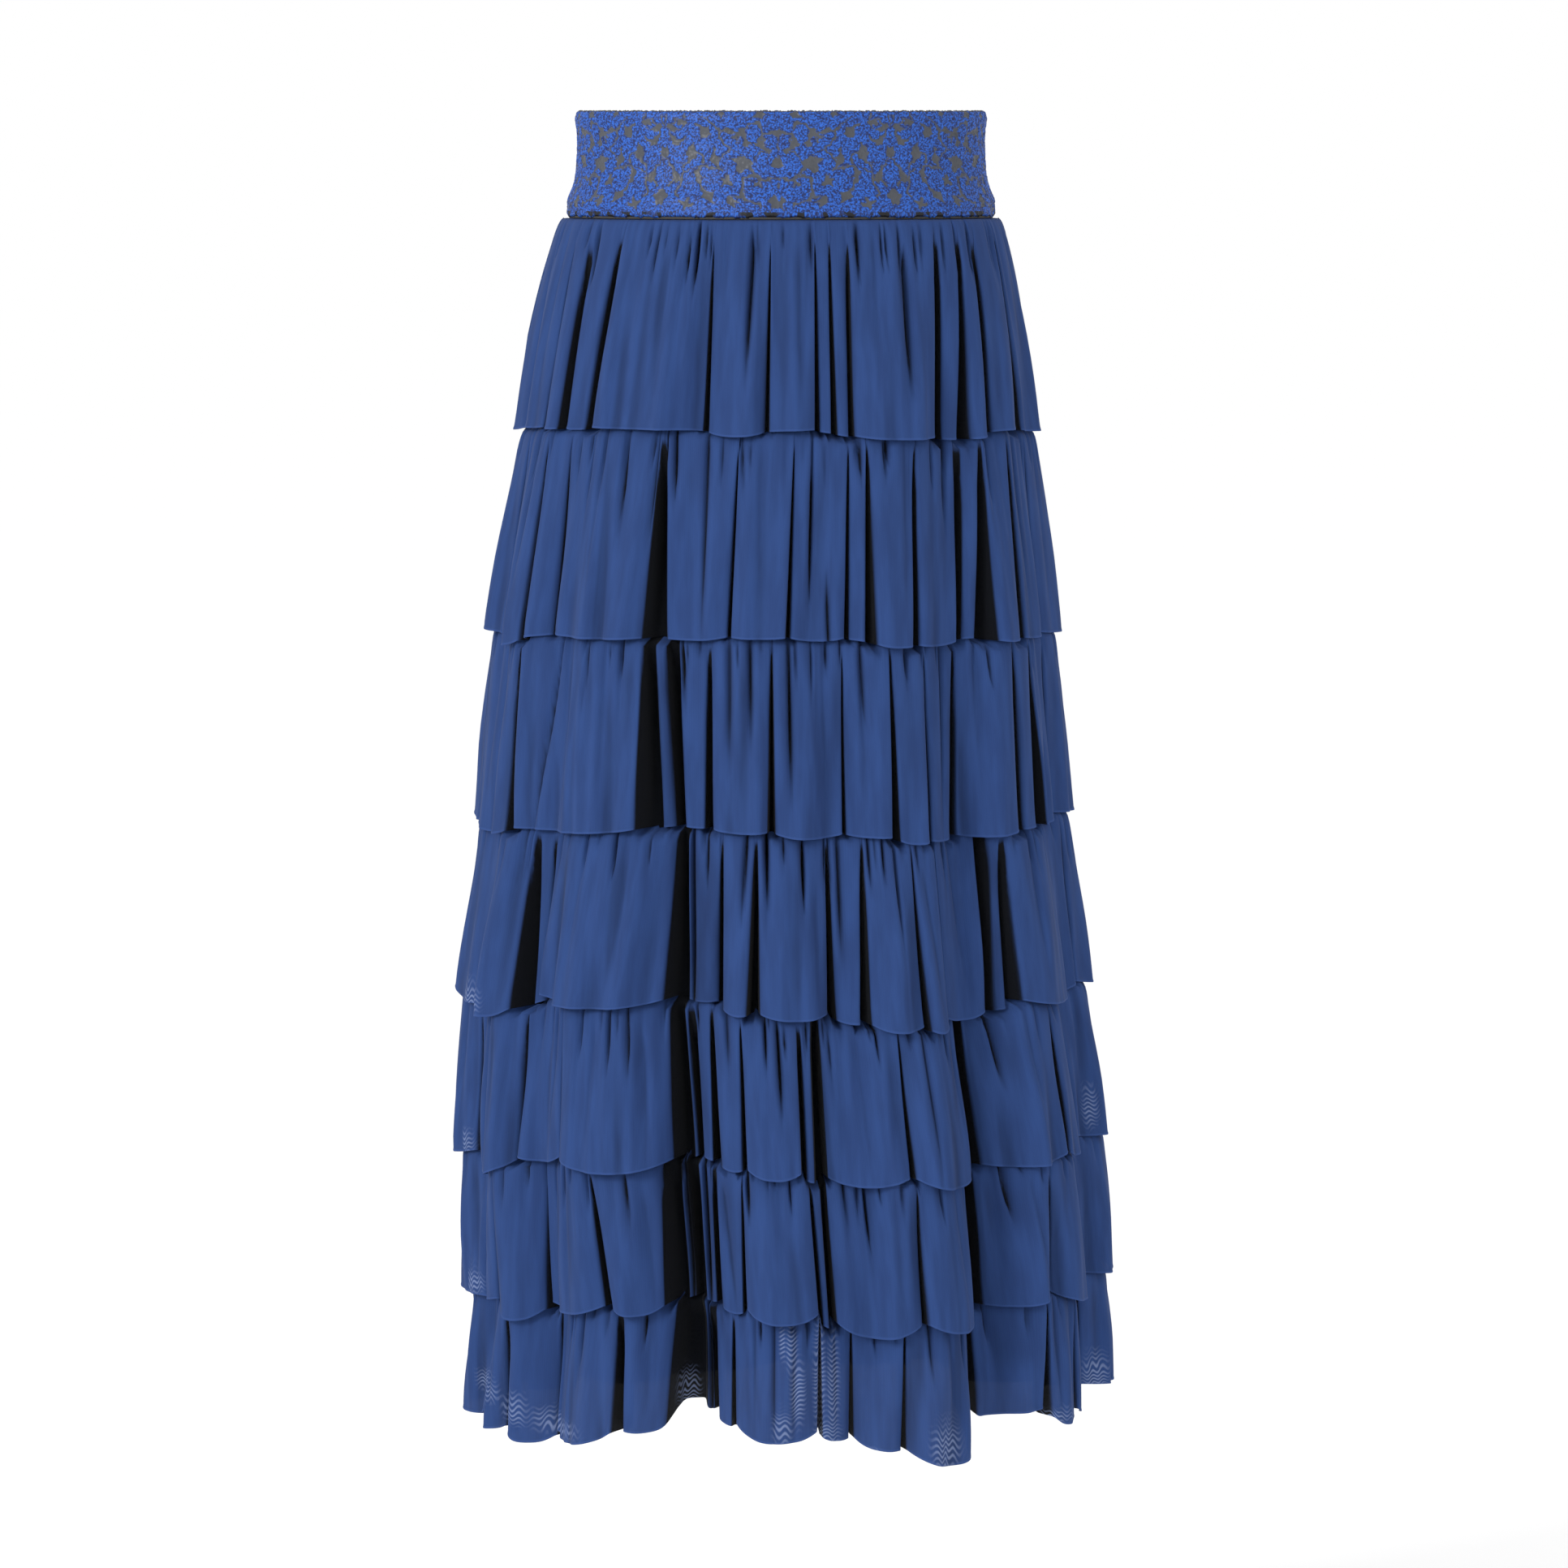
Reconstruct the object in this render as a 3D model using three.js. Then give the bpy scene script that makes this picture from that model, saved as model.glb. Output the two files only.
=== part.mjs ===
// Tiered maxi skirt, filled out as it is when worn: a wide woven waistband, a fluted
// base skirt, and seven gathered ruffles sewn one below the other round the base.
// Millimetres. +Z is up, the front faces -Y, +X is to the right as seen from the front.
// The origin is the middle of the waistband, at half its height, where a waist holds it.
import * as THREE from "three";

// Cloth and sewing sizes
const WALL = 1.3; // thickness of every mesh wall
const BAND_WALL = 3; // brocade doubled over elastic
const SEAM = 0.3; // gap between two pieces that are sewn together
const SEAM_HEIGHT = SEAM + WALL; // height of a ruffle's outer face over the base at its seam
const SIDE_SEAM = 90; // degrees round from the centre front

// Waistband, from its top edge down: height of each ring and its outer half sizes
const BAND = [
  { z: 34.5, halfWidth: 137, halfDepth: 97 },
  { z: -8, halfWidth: 137.5, halfDepth: 97.5 },
  { z: -22, halfWidth: 140, halfDepth: 100 },
  { z: -34.5, halfWidth: 142.6, halfDepth: 102.5 },
];
const BINDING_HEIGHT = 2; // bound edge under the brocade
const SKIRT_TOP = -34.5 - BINDING_HEIGHT - 2 * SEAM;

// Outer face of the base skirt, one row for each seam: the half sizes of its oval, how far
// its middle sits to the right and towards the back, and the share of the flutes' full depth
const OUTLINE = [
  { z: SKIRT_TOP, halfWidth: 141.2, halfDepth: 101.1, side: 0, back: 0, flute: 0 },
  { z: -170, halfWidth: 149, halfDepth: 120, side: -2, back: 6, flute: 0.2 },
  { z: -303, halfWidth: 164.5, halfDepth: 136, side: -4.5, back: 6, flute: 0.4 },
  { z: -429, halfWidth: 172.5, halfDepth: 148, side: -4.5, back: 5, flute: 0.62 },
  { z: -549, halfWidth: 184.5, halfDepth: 158, side: -4, back: 3, flute: 0.82 },
  { z: -650, halfWidth: 191, halfDepth: 164, side: 1, back: 0, flute: 0.94 },
  { z: -752, halfWidth: 190.5, halfDepth: 166, side: 6, back: 0, flute: 1 },
];

// Flutes of the base skirt: where each valley lies, in degrees round from the centre front,
// its half width in degrees and its depth at the hem
const FLUTES = [
  { at: -76, reach: 12, deep: 14 },
  { at: -52, reach: 12, deep: 22 },
  { at: -18, reach: 13, deep: 31 },
  { at: 12, reach: 11, deep: 16 },
  { at: 42, reach: 13, deep: 32 },
  { at: 74, reach: 12, deep: 16 },
  { at: 108, reach: 13, deep: 20 },
  { at: 138, reach: 13, deep: 26 },
  { at: 168, reach: 14, deep: 20 },
  { at: 204, reach: 14, deep: 24 },
  { at: 236, reach: 13, deep: 24 },
];

// Each fold is a valley and the lobe to its right. The columns are where the valley meets
// the hem, across from the centre front, how far its top end leans from straight up, its
// open width, its depth, how far the lobe stands proud, and how far the lobe's hem drops.
const FOLD = ["across", "lean", "gap", "deep", "proud", "drop"];

const TIERS = [
  {
    name: "ruffle_1", seam: SKIRT_TOP, hem: -178, stand: 19,
    folds: [
      [-160, 6, 2.5, 9, 0, -3], [-148, 4, 2.5, 10, 0, -3], [-139, 2, 2.5, 9, -1, -3],
      [-126, 2, 6, 17, 2, -5], [-49, 0, 3, 9, 0, 0], [-9, 0, 2.5, 10, 2, -5],
      [23, -1, 3, 15, -2, -3], [34, -2, 3.5, 16, -1, -1], [45, 0, 3, 13, 2, 2],
      [102, 8, 4, 16, -1, 3], [116, 9, 7, 18, -1, 3], [129, 6, 3, 12, 1, -3],
      [149, 2, 8, 16, 0, 0],
    ],
  },
  {
    name: "ruffle_2", seam: -170, hem: -310, stand: 20,
    folds: [
      [-176, 4, 2.5, 9, 2, 9], [-161, 3, 2.5, 10, -1, 0], [-147, 0, 3, 11, 2, 0],
      [-80, 6, 12, 19, 0, 0], [-33, 2, 2.5, 11, 2, -2], [4, 3, 2.5, 11, 0, 0],
      [42, 2, 3, 12, -2, -1], [56, 0, 5, 17, 3, 5], [83, 7, 4, 15, 1, 5],
      [118, 4, 5, 16, -4, 0], [128, 5, 8, 18, 0, 4], [147, 3, 5, 15, 0, 3],
      [165, 0, 2.5, 10, -1, 2],
    ],
  },
  {
    name: "ruffle_3", seam: -303, hem: -437, stand: 21,
    folds: [
      [-188, 0, 2.5, 9, 1, 7], [-169, 0, 6, 17, 2, 0], [-84, 2, 9, 19, -5, -6],
      [-69, -2, 8, 19, -1, -5], [-47, -1, 6, 18, 2, -3], [-6, 0, 4, 15, 2, 1],
      [41, 0, 2.5, 11, 0, 0], [71, 0, 4, 16, 2, 6], [92, 2, 3, 12, 0, 5],
      [115, 4, 5, 17, 2, 4], [149, 2, 6, 17, -3, 0], [161, 2, 6, 15, 1, 0],
      [175, 0, 2.5, 9, -2, -6],
    ],
  },
  {
    name: "ruffle_4", seam: -429, hem: -558, stand: 22,
    folds: [
      [-191, 0, 2.5, 9, 1, 5], [-169, 3, 7, 18, -4, -8], [-160, 5, 2.5, 14, 3, -8],
      [-71, 2, 13, 20, -5, -14], [-39, 0, 4, 15, 2, -6], [-17, 2, 7, 18, 2, -3],
      [34, -2, 5, 17, 0, 0], [54, 2, 5, 17, 2, 6], [90, -4, 3, 13, 3, 8],
      [108, -5, 2.5, 10, 2, 2], [141, 0, 5, 19, -5, -4], [150, 0, 3, 16, 1, -5],
      [190, 0, 3, 11, -2, -12],
    ],
  },
  {
    name: "ruffle_5", seam: -549, hem: -659, stand: 22,
    folds: [
      [-197, 0, 3, 10, -1, 9], [-171, 7, 3, 16, 3, -5], [-139, 4, 2.5, 7, 4, -2],
      [-67, -3, 7, 20, -6, -14], [-56.5, -2, 4.5, 18, -3, -12], [-42, 0, 6, 18, 0, -6],
      [-22, 1, 3, 13, 2, -1], [15, 0, 3, 14, -2, 1], [26, 2, 7, 19, 2, 5],
      [82, -3, 3, 13, 4, 8], [134, -2, 11, 21, 0, -2], [178, -2, 3, 13, 0, -5],
      [193, 0, 3, 12, -2, -13],
    ],
  },
  {
    name: "ruffle_6", seam: -650, hem: -753, stand: 22,
    folds: [
      [-176, 0, 2.5, 8, 2, 10], [-156, 2, 5, 18, 2, -2], [-103, -6, 4, 16, 2, -3],
      [-71, 0, 8, 20, -8, -16], [-58, 0, 8, 20, -5, -12], [-42, 2, 5, 18, 0, -7],
      [-22, 2, 2.5, 11, 3, -1], [26, -4, 3, 14, -3, 1], [34, -2, 4, 19, 4, 10],
      [89, 0, 2.5, 6, 5, 8], [138, 0, 12, 21, 0, -4], [172, 0, 2.5, 7, 0, -3],
      [200, -2, 3, 12, -2, -14],
    ],
  },
  {
    name: "ruffle_7", seam: -744, hem: -834, stand: 20,
    folds: [
      [-190, 0, 3, 11, 1, 3], [-173, 0, 3, 12, -2, 10], [-155, 3, 3, 12, 3, 3],
      [-101, 0, 6, 17, 1, -8], [-61, 0, 12, 19, -8, -22], [-43, 0, 4, 14, -1, -15],
      [-31, 0, 3, 12, 1, -4], [25, 0, 3, 13, 1, -5], [47, 0, 3, 15, 0, 2],
      [78, 0, 3, 13, 3, 8], [134, 0, 9, 19, 0, -15], [165, 0, 3, 13, 0, -5],
      [183, 0, 3, 12, 0, -7], [201, 0, 4, 14, -2, -18],
    ],
  },
];
const BACK_FROM = 3; // a ruffle's back has the folds of the ruffle this many further down
const BACK_LEAST = 13; // shallower folds are left off the back, where the cloth hangs fuller,
const BACK_SPACING = 3.6; // degrees, and so are those that would crowd the one before
const SIDE_FOLDS = [ // one more valley just behind each side seam
  { angle: 97, lean: 0, gap: 4, deep: 13, proud: 1, drop: 0 },
  { angle: 264, lean: 0, gap: 4, deep: 13, proud: 1, drop: 0 },
];
const VALLEY_LIFT = 9.5; // how far a valley's floor stands off the base at the hem

// Rings of a ruffle: each one's share of its height, and the share of its full stand that it
// has swollen out to there. The first ruffle starts at the band, free of any hem over it.
const LEVELS = [0, 0.15, 0.32, 1];
const SWELL_FREE = [0, 0.52, 0.84, 1];
const SWELL_COVERED = [0, 0.25, 0.86, 1];
const VALLEY_RISE = [0, 0.2, 0.4, 1]; // share of the valleys' full lift at each ring
const NARROW_LOBE = 24; // a lobe narrower than this has no crest
const LEAST_LOBE = 4.4; // across a lobe's top, room for its two walls
const NARROW_GAP = 3; // a valley no wider than this comes to a point
const SEAM_CLEAR = 2; // degrees between a side seam and the nearest point of a lobe
const BASE_STEP = 6; // degrees between the base skirt's points
const BAND_STEP = 9;

const rad = THREE.MathUtils.degToRad;
const deg = THREE.MathUtils.radToDeg;
const turn = (a) => ((((a + SIDE_SEAM) % 360) + 360) % 360) - SIDE_SEAM; // -90 up to 270

// The outline's row at a height, mixed from the rows above and below it.
function outlineAt(z) {
  const below = Math.min(OUTLINE.length - 1, Math.max(1, OUTLINE.findIndex((row) => row.z <= z)));
  const low = OUTLINE[z < OUTLINE.at(-1).z ? OUTLINE.length - 1 : below];
  const high = OUTLINE[OUTLINE.indexOf(low) - 1];
  const share = THREE.MathUtils.clamp((high.z - z) / (high.z - low.z), 0, 1);
  const mixed = {};
  for (const key of Object.keys(high)) mixed[key] = THREE.MathUtils.lerp(high[key], low[key], share);
  return mixed;
}

// Depth of the flutes at an angle, at the hem: each is a smooth bell.
function fluteDepth(angle) {
  return FLUTES.reduce((sum, flute) => {
    const off = Math.abs(turn(angle - flute.at + 180 - SIDE_SEAM) - 180 + SIDE_SEAM) / flute.reach;
    return off < 1 ? sum + flute.deep * Math.cos((off * Math.PI) / 2) ** 2 : sum;
  }, 0);
}

// A point a given height off the oval, at an angle round from the centre front.
function offOval(oval, angle, height) {
  const s = Math.sin(rad(angle));
  const c = Math.cos(rad(angle));
  const length = Math.hypot(oval.halfDepth * s, oval.halfWidth * c);
  return new THREE.Vector2(
    (oval.side ?? 0) + oval.halfWidth * s + (height * oval.halfDepth * s) / length,
    (oval.back ?? 0) - oval.halfDepth * c - (height * oval.halfWidth * c) / length,
  );
}

// The base skirt's outer corners all round at one height.
function baseRing(oval) {
  const ring = [];
  for (let angle = -SIDE_SEAM; angle < 360 - SIDE_SEAM; angle += BASE_STEP) {
    ring.push(offOval(oval, angle, -fluteDepth(angle) * oval.flute));
  }
  return ring;
}

// A point of a ruffle: the same way along the base skirt's flat face, and that far off it.
function overBase(oval, angle, height) {
  const ring = innerSection(baseRing(oval), -SEAM_HEIGHT, true);
  const way = (turn(angle) + SIDE_SEAM) / BASE_STEP;
  const corner = Math.floor(way);
  const point = ring[corner].clone().lerp(ring[(corner + 1) % ring.length], way - corner);
  const out = offOval(oval, angle, height - SEAM_HEIGHT).sub(offOval(oval, angle, 0));
  return point.add(out);
}

// Degrees round the oval that a length of its edge takes up there.
function arc(oval, angle, length) {
  const s = Math.sin(rad(angle));
  const c = Math.cos(rad(angle));
  return deg(length / Math.hypot(oval.halfWidth * c, oval.halfDepth * s));
}

// All the folds of a ruffle in order round it, starting at the left side seam.
function foldsOf(index) {
  const front = tableRows(index).map((fold) => ({ ...fold, angle: angleOf(index, fold.across) }));
  const twin = (index + BACK_FROM) % TIERS.length;
  const back = tableRows(twin)
    .filter((fold) => fold.deep >= BACK_LEAST)
    .map((fold) => ({ ...fold, angle: 180 + angleOf(twin, fold.across) }))
    .filter((fold) => fold.angle > SIDE_FOLDS[0].angle + 6 && fold.angle < SIDE_FOLDS[1].angle - 6)
    .filter((fold, i, all) => i === 0 || fold.angle - all[i - 1].angle > BACK_SPACING);
  return [...front, ...SIDE_FOLDS, ...back].sort((a, b) => a.angle - b.angle);
}

function tableRows(index) {
  return TIERS[index].folds.map((row) => Object.fromEntries(FOLD.map((name, i) => [name, row[i]])));
}

// The angle at which a ruffle's middle surface lies that far across.
function angleOf(index, across) {
  const tier = TIERS[index];
  const oval = outlineAt(tier.hem);
  return deg(Math.asin((across - oval.side) / (oval.halfWidth + tier.stand / 2)));
}

// How many points a lobe has between its shoulders: none when narrow, and else enough for
// one at each corner of the base skirt.
function crestCount(index, fold, next) {
  const width = next.angle - fold.angle + (next.angle < fold.angle ? 360 : 0);
  const oval = outlineAt(TIERS[index].hem);
  if (width < arc(oval, fold.angle, NARROW_LOBE)) return 0;
  return Math.max(1, Math.ceil(width / BASE_STEP) - 1);
}

// The points of one level of a ruffle: each valley has a floor with two ends, and each
// lobe two shoulders, with a crest between them where it is wide.
function levelPoints(index, level) {
  const tier = TIERS[index];
  const share = LEVELS[level];
  const swell = (index === 0 ? SWELL_FREE : SWELL_COVERED)[level];
  const folds = foldsOf(index);
  const oval = outlineAt(THREE.MathUtils.lerp(tier.seam, tier.hem, share));
  const face = SEAM_HEIGHT + tier.stand * swell;
  const least = SEAM_HEIGHT + VALLEY_LIFT * VALLEY_RISE[level];
  const points = [];
  folds.forEach((fold, i) => {
    const next = folds[(i + 1) % folds.length];
    const open = Math.min(1, 2.5 * share);
    const lift = share * share;
    const floor = Math.max(least, face - fold.deep * open);
    const top = Math.max(face + fold.proud * lift, floor + 1.5 * lift);
    const middle = (f) => f.angle + arc(oval, f.angle, f.lean * (1 - share));
    const here = middle(fold);
    const there = middle(next) + (next.angle < fold.angle ? 360 : 0);
    const width = there - here;
    const crown = Math.min(4, 0.08 * (width / arc(oval, here, 1))) * lift;
    const widest = (width / arc(oval, here, 1) - LEAST_LOBE) / 2;
    const openHalf = Math.min(widest, 0.5 * fold.gap + 1.2);
    const nextOpenHalf = Math.min(widest, 0.5 * next.gap + 1.2);
    const floorHalf = arc(oval, here, Math.min(0.35 * fold.gap, 0.6 * openHalf));
    const wallHalf = arc(oval, here, openHalf);
    const nextHalf = arc(oval, there, nextOpenHalf);
    const z = (drop) => THREE.MathUtils.lerp(tier.seam, tier.hem - drop, share);
    const before = folds[(i + folds.length - 1) % folds.length];
    const valleyZ = z((fold.drop + before.drop) / 2 - 1);
    if (fold.gap > NARROW_GAP) points.push({ angle: here - floorHalf, height: floor, z: valleyZ });
    const end = fold.gap > NARROW_GAP ? here + floorHalf : here;
    points.push({ angle: end, height: floor, z: valleyZ });
    points.push({ angle: here + wallHalf, height: top, z: z((3 * fold.drop + before.drop) / 4) });
    const crests = crestCount(index, fold, next);
    for (let k = 1; k <= crests; k += 1) {
      const angle = here + (width * k) / (crests + 1);
      points.push({ angle, height: top + crown, z: z(fold.drop) });
    }
    points.push({ angle: there - nextHalf, height: top, z: z((3 * fold.drop + next.drop) / 4) });
  });
  return points;
}

// Cuts a level's points at the side seams into the front part and the back part. The cuts
// are made between the same points at every level, so each panel is a grid.
function panelLevels(index, side) {
  const hem = levelPoints(index, LEVELS.length - 1);
  const cuts = [SIDE_SEAM, 360 - SIDE_SEAM].map((angle) => {
    const after = hem.findIndex((p) => p.angle > angle);
    const before = hem[after - 1];
    return { angle, after, share: (angle - before.angle) / (hem[after].angle - before.angle) };
  });
  const [right, left] = cuts;
  const clear = hem.map((p) => cuts.every((cut) => Math.abs(p.angle - cut.angle) > SEAM_CLEAR));
  return LEVELS.map((share, level) => {
    const points = levelPoints(index, level);
    const [atRight, atLeft] = cuts.map((cut) => {
      const from = points[cut.after - 1];
      const to = points[cut.after];
      return {
        angle: cut.angle,
        height: THREE.MathUtils.lerp(from.height, to.height, cut.share),
        z: THREE.MathUtils.lerp(from.z, to.z, cut.share),
      };
    });
    const between = (from, to = points.length) =>
      points.filter((p, i) => clear[i] && i >= from && i < to);
    if (side === "back") return [atRight, ...between(right.after, left.after), atLeft];
    const round = [atLeft, ...between(left.after)].map((p) => ({ ...p, angle: p.angle - 360 }));
    return [...round, ...between(0, right.after), atRight];
  });
}

// At the seam, moves the point nearest each corner of the base skirt onto that corner.
function onCorners(points) {
  const moved = points.map((p) => ({ ...p }));
  const first = Math.ceil(points[0].angle / BASE_STEP) * BASE_STEP;
  for (let corner = first; corner <= points.at(-1).angle; corner += BASE_STEP) {
    const offs = points.map((p) => Math.abs(p.angle - corner));
    moved[offs.indexOf(Math.min(...offs))].angle = corner;
  }
  return moved;
}

// Moves a section inwards by the wall, along the middle of each corner. The ends of an open
// section move straight across, in the plane of their side seam.
function innerSection(outer, wall, closed) {
  const count = outer.length;
  const edgeNormal = (a, b) => new THREE.Vector2(b.y - a.y, a.x - b.x).normalize();
  return outer.map((point, i) => {
    const before = closed || i > 0 ? outer[(i + count - 1) % count] : null;
    const after = closed || i < count - 1 ? outer[(i + 1) % count] : null;
    const first = before ? edgeNormal(before, point) : edgeNormal(point, after);
    const second = after ? edgeNormal(point, after) : first;
    const across = new THREE.Vector2(Math.sign(point.x), 0);
    const middle = before && after ? first.clone().add(second).normalize() : across;
    const reach = wall / Math.max(0.62, middle.dot(first));
    return point.clone().addScaledVector(middle, -reach);
  });
}

// A wall through sections of one size: outer and inner points at each level, joined all
// round when closed, or with an end face at each side when open.
function wallGeometry(levels, wall, closed) {
  const count = levels[0].length;
  const vertices = [];
  for (const level of levels) {
    const outer = level.map((p) => new THREE.Vector2(p.x, p.y));
    const inner = innerSection(outer, wall, closed);
    outer.forEach((p, i) => vertices.push(p.x, p.y, level[i].z));
    inner.forEach((p, i) => vertices.push(p.x, p.y, level[i].z));
  }
  const faces = [];
  const quad = (a, b, c, d) => faces.push(a, b, c, a, c, d);
  const at = (level, inner, i) => level * 2 * count + inner * count + (i % count);
  const last = levels.length - 1;
  const steps = closed ? count : count - 1;
  for (let i = 0; i < steps; i += 1) {
    for (let level = 0; level < last; level += 1) {
      quad(at(level, 0, i), at(level + 1, 0, i), at(level + 1, 0, i + 1), at(level, 0, i + 1));
      quad(at(level, 1, i), at(level, 1, i + 1), at(level + 1, 1, i + 1), at(level + 1, 1, i));
    }
    quad(at(0, 0, i), at(0, 0, i + 1), at(0, 1, i + 1), at(0, 1, i));
    quad(at(last, 0, i), at(last, 1, i), at(last, 1, i + 1), at(last, 0, i + 1));
  }
  if (!closed) {
    for (let level = 0; level < last; level += 1) {
      const end = count - 1;
      quad(at(level, 0, 0), at(level, 1, 0), at(level + 1, 1, 0), at(level + 1, 0, 0));
      quad(at(level, 0, end), at(level + 1, 0, end), at(level + 1, 1, end), at(level, 1, end));
    }
  }
  const geometry = new THREE.BufferGeometry();
  geometry.setAttribute("position", new THREE.Float32BufferAttribute(vertices, 3));
  geometry.setIndex(faces);
  geometry.computeVertexNormals();
  return geometry;
}

// How far back a panel's side edge lies, half the seam's gap from the other panel's.
function seamLine(oval, side) {
  return oval.back + (side === "front" ? -SEAM / 2 : SEAM / 2);
}

// One ruffle's front or back panel.
function rufflePanel(index, side) {
  const tier = TIERS[index];
  const levels = panelLevels(index, side).map((points, i) => {
    const here = THREE.MathUtils.lerp(tier.seam, tier.hem, LEVELS[i]);
    const oval = outlineAt(here);
    const placed = i === 0 ? onCorners(points) : points;
    return placed.map((p, k) => {
      const flat = overBase(oval, p.angle, p.height);
      const isEnd = k === 0 || k === points.length - 1;
      return new THREE.Vector3(flat.x, isEnd ? seamLine(oval, side) : flat.y, p.z);
    });
  });
  return wallGeometry(levels, WALL, false);
}

// The base skirt's front or back panel, from the waistband to the last ruffle's seam.
function basePanel(side) {
  const start = side === "front" ? -SIDE_SEAM : SIDE_SEAM;
  const levels = OUTLINE.map((oval) => {
    const ring = [];
    for (let angle = start; angle <= start + 180; angle += BASE_STEP) {
      const flat = offOval(oval, angle, -fluteDepth(angle) * oval.flute);
      const isEnd = angle === start || angle === start + 180;
      ring.push(new THREE.Vector3(flat.x, isEnd ? seamLine(oval, side) : flat.y, oval.z));
    }
    return ring;
  });
  return wallGeometry(levels, WALL, false);
}

// A closed oval band through the given rows.
function ovalBand(rows, wall) {
  const levels = rows.map((oval) => {
    const ring = [];
    for (let angle = 0; angle < 360; angle += BAND_STEP) {
      const flat = offOval(oval, angle, 0);
      ring.push(new THREE.Vector3(flat.x, flat.y, oval.z));
    }
    return ring;
  });
  return wallGeometry(levels, wall, true);
}

// The bound edge under the brocade, a narrow band of the same wall.
function bindingRows() {
  const bottom = BAND.at(-1);
  const top = bottom.z - SEAM;
  return [{ ...bottom, z: top }, { ...bottom, z: top - BINDING_HEIGHT }];
}

const mesh = new THREE.MeshStandardMaterial({ color: "#33508f", roughness: 0.75, metalness: 0 });
const brocade = new THREE.MeshStandardMaterial({ color: "#27499f", roughness: 0.6, metalness: 0 });
const satin = new THREE.MeshStandardMaterial({ color: "#24262b", roughness: 0.45, metalness: 0 });

function named(name, geometry, material) {
  const part = new THREE.Mesh(geometry, material);
  part.name = name;
  return part;
}

const skirt = new THREE.Group();
skirt.add(named("waistband", ovalBand(BAND, BAND_WALL), brocade));
skirt.add(named("waistband_binding", ovalBand(bindingRows(), BAND_WALL), satin));
for (const side of ["front", "back"]) {
  skirt.add(named(`base_${side}`, basePanel(side), mesh));
  TIERS.forEach((tier, i) => {
    skirt.add(named(`${tier.name}_${side}`, rufflePanel(i, side), mesh));
  });
}

export default skirt;
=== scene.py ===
"""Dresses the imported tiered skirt: seven gathered mesh ruffles on a fluted base skirt,
under a wide damask waistband, on a pale floor in soft studio light.

Every size is in millimetres until a mesh is made. +Z is up and the front faces -Y.
"""

import logging
import math
from dataclasses import dataclass, field
from enum import Enum
from typing import NamedTuple

import bpy
import numpy as np
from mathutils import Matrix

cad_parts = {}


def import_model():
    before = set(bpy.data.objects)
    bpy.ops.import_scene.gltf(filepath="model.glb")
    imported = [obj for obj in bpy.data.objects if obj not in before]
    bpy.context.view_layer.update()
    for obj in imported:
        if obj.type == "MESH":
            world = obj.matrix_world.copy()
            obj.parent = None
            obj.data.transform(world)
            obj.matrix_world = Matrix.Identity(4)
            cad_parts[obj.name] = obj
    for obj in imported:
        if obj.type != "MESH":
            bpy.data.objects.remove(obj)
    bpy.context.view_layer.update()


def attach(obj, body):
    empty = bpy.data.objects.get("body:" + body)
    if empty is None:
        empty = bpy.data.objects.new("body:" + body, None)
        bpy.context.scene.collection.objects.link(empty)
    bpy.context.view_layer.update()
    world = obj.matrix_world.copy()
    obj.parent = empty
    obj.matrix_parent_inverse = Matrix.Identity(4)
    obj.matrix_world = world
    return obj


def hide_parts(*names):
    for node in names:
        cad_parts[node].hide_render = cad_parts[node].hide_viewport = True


log = logging.getLogger("skirt")

MILLI = 0.001  # metres in a millimetre
CLOTH = 0.7  # thickness of the mesh as it is seen
SEAM_HEIGHT = 1.6  # a ruffle's outer face over the base skirt at its seam
SIDE_SEAM = 90.0  # degrees round from the centre front
SEAM_GAP = 0.02  # between the front and back panels, which are sewn tight
HEM_ZONE = 30.0  # how far over a hem its distance is given to the material
WAVE_BAND = 0.3  # metres from band to band of a wave pattern at scale 1
SEED_STEP = 100  # keeps the ruffles' random draws apart
FRONT = -20.0  # light comes through the mesh only in front of this
FINE = 0.02  # degrees, in which a panel's columns are placed
PLAIN = 0.52  # columns to a millimetre where a ruffle is plain
IN_VALLEY = (1.5, 3.4)  # how many more in a valley, and over what width
IN_GATHER = (0.42, 1.0)  # the same in a gather, besides its own width


class Side(Enum):
    """The half of the skirt that a panel covers, by the angles where it starts and ends."""

    FRONT = (-SIDE_SEAM, SIDE_SEAM)
    BACK = (SIDE_SEAM, 360.0 - SIDE_SEAM)


class Oval(NamedTuple):
    """The base skirt at one height: its half sizes, how far its middle sits to the right
    and towards the back, and the share of the flutes' full depth."""

    z: float
    half_width: float
    half_depth: float
    side: float
    back: float
    flute: float


class Flute(NamedTuple):
    """A flute of the base skirt: where it lies in degrees, half its width and its depth."""

    at: float
    reach: float
    deep: float


class Fold(NamedTuple):
    """A valley of a ruffle and the lobe to its right, by where the valley meets the hem
    across the skirt, how far its top leans, its gap, its depth, how far the lobe stands
    proud, and how far the lobe's hem drops."""

    across: float
    lean: float
    gap: float
    deep: float
    proud: float
    drop: float


class Crease(NamedTuple):
    """A soft trough in a ruffle: where it would meet the hem across the skirt, how far its
    top leans, the shares of the height where it starts and ends, its depth and half width."""

    across: float
    lean: float
    start: float
    end: float
    deep: float
    half: float


class Thin(NamedTuple):
    """A place where the mesh lies single and the light comes through it: how far across and
    how high its middle is, and its half sizes."""

    across: float
    z: float
    half_width: float
    half_height: float


SIDE_FOLDS = ((97.0, 4.0, 13.0), (264.0, 4.0, 13.0))  # angle, gap and depth
SIDE_CLEAR = 6.0  # degrees between a side valley and the back's first
BACK_FROM = 3  # a back panel has the folds of the ruffle this many further down
BACK_LEAST = 13.0  # a shallower front valley isn't used again at the back
BACK_SPACING = 3.6  # least degrees between two valleys at the back
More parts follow.
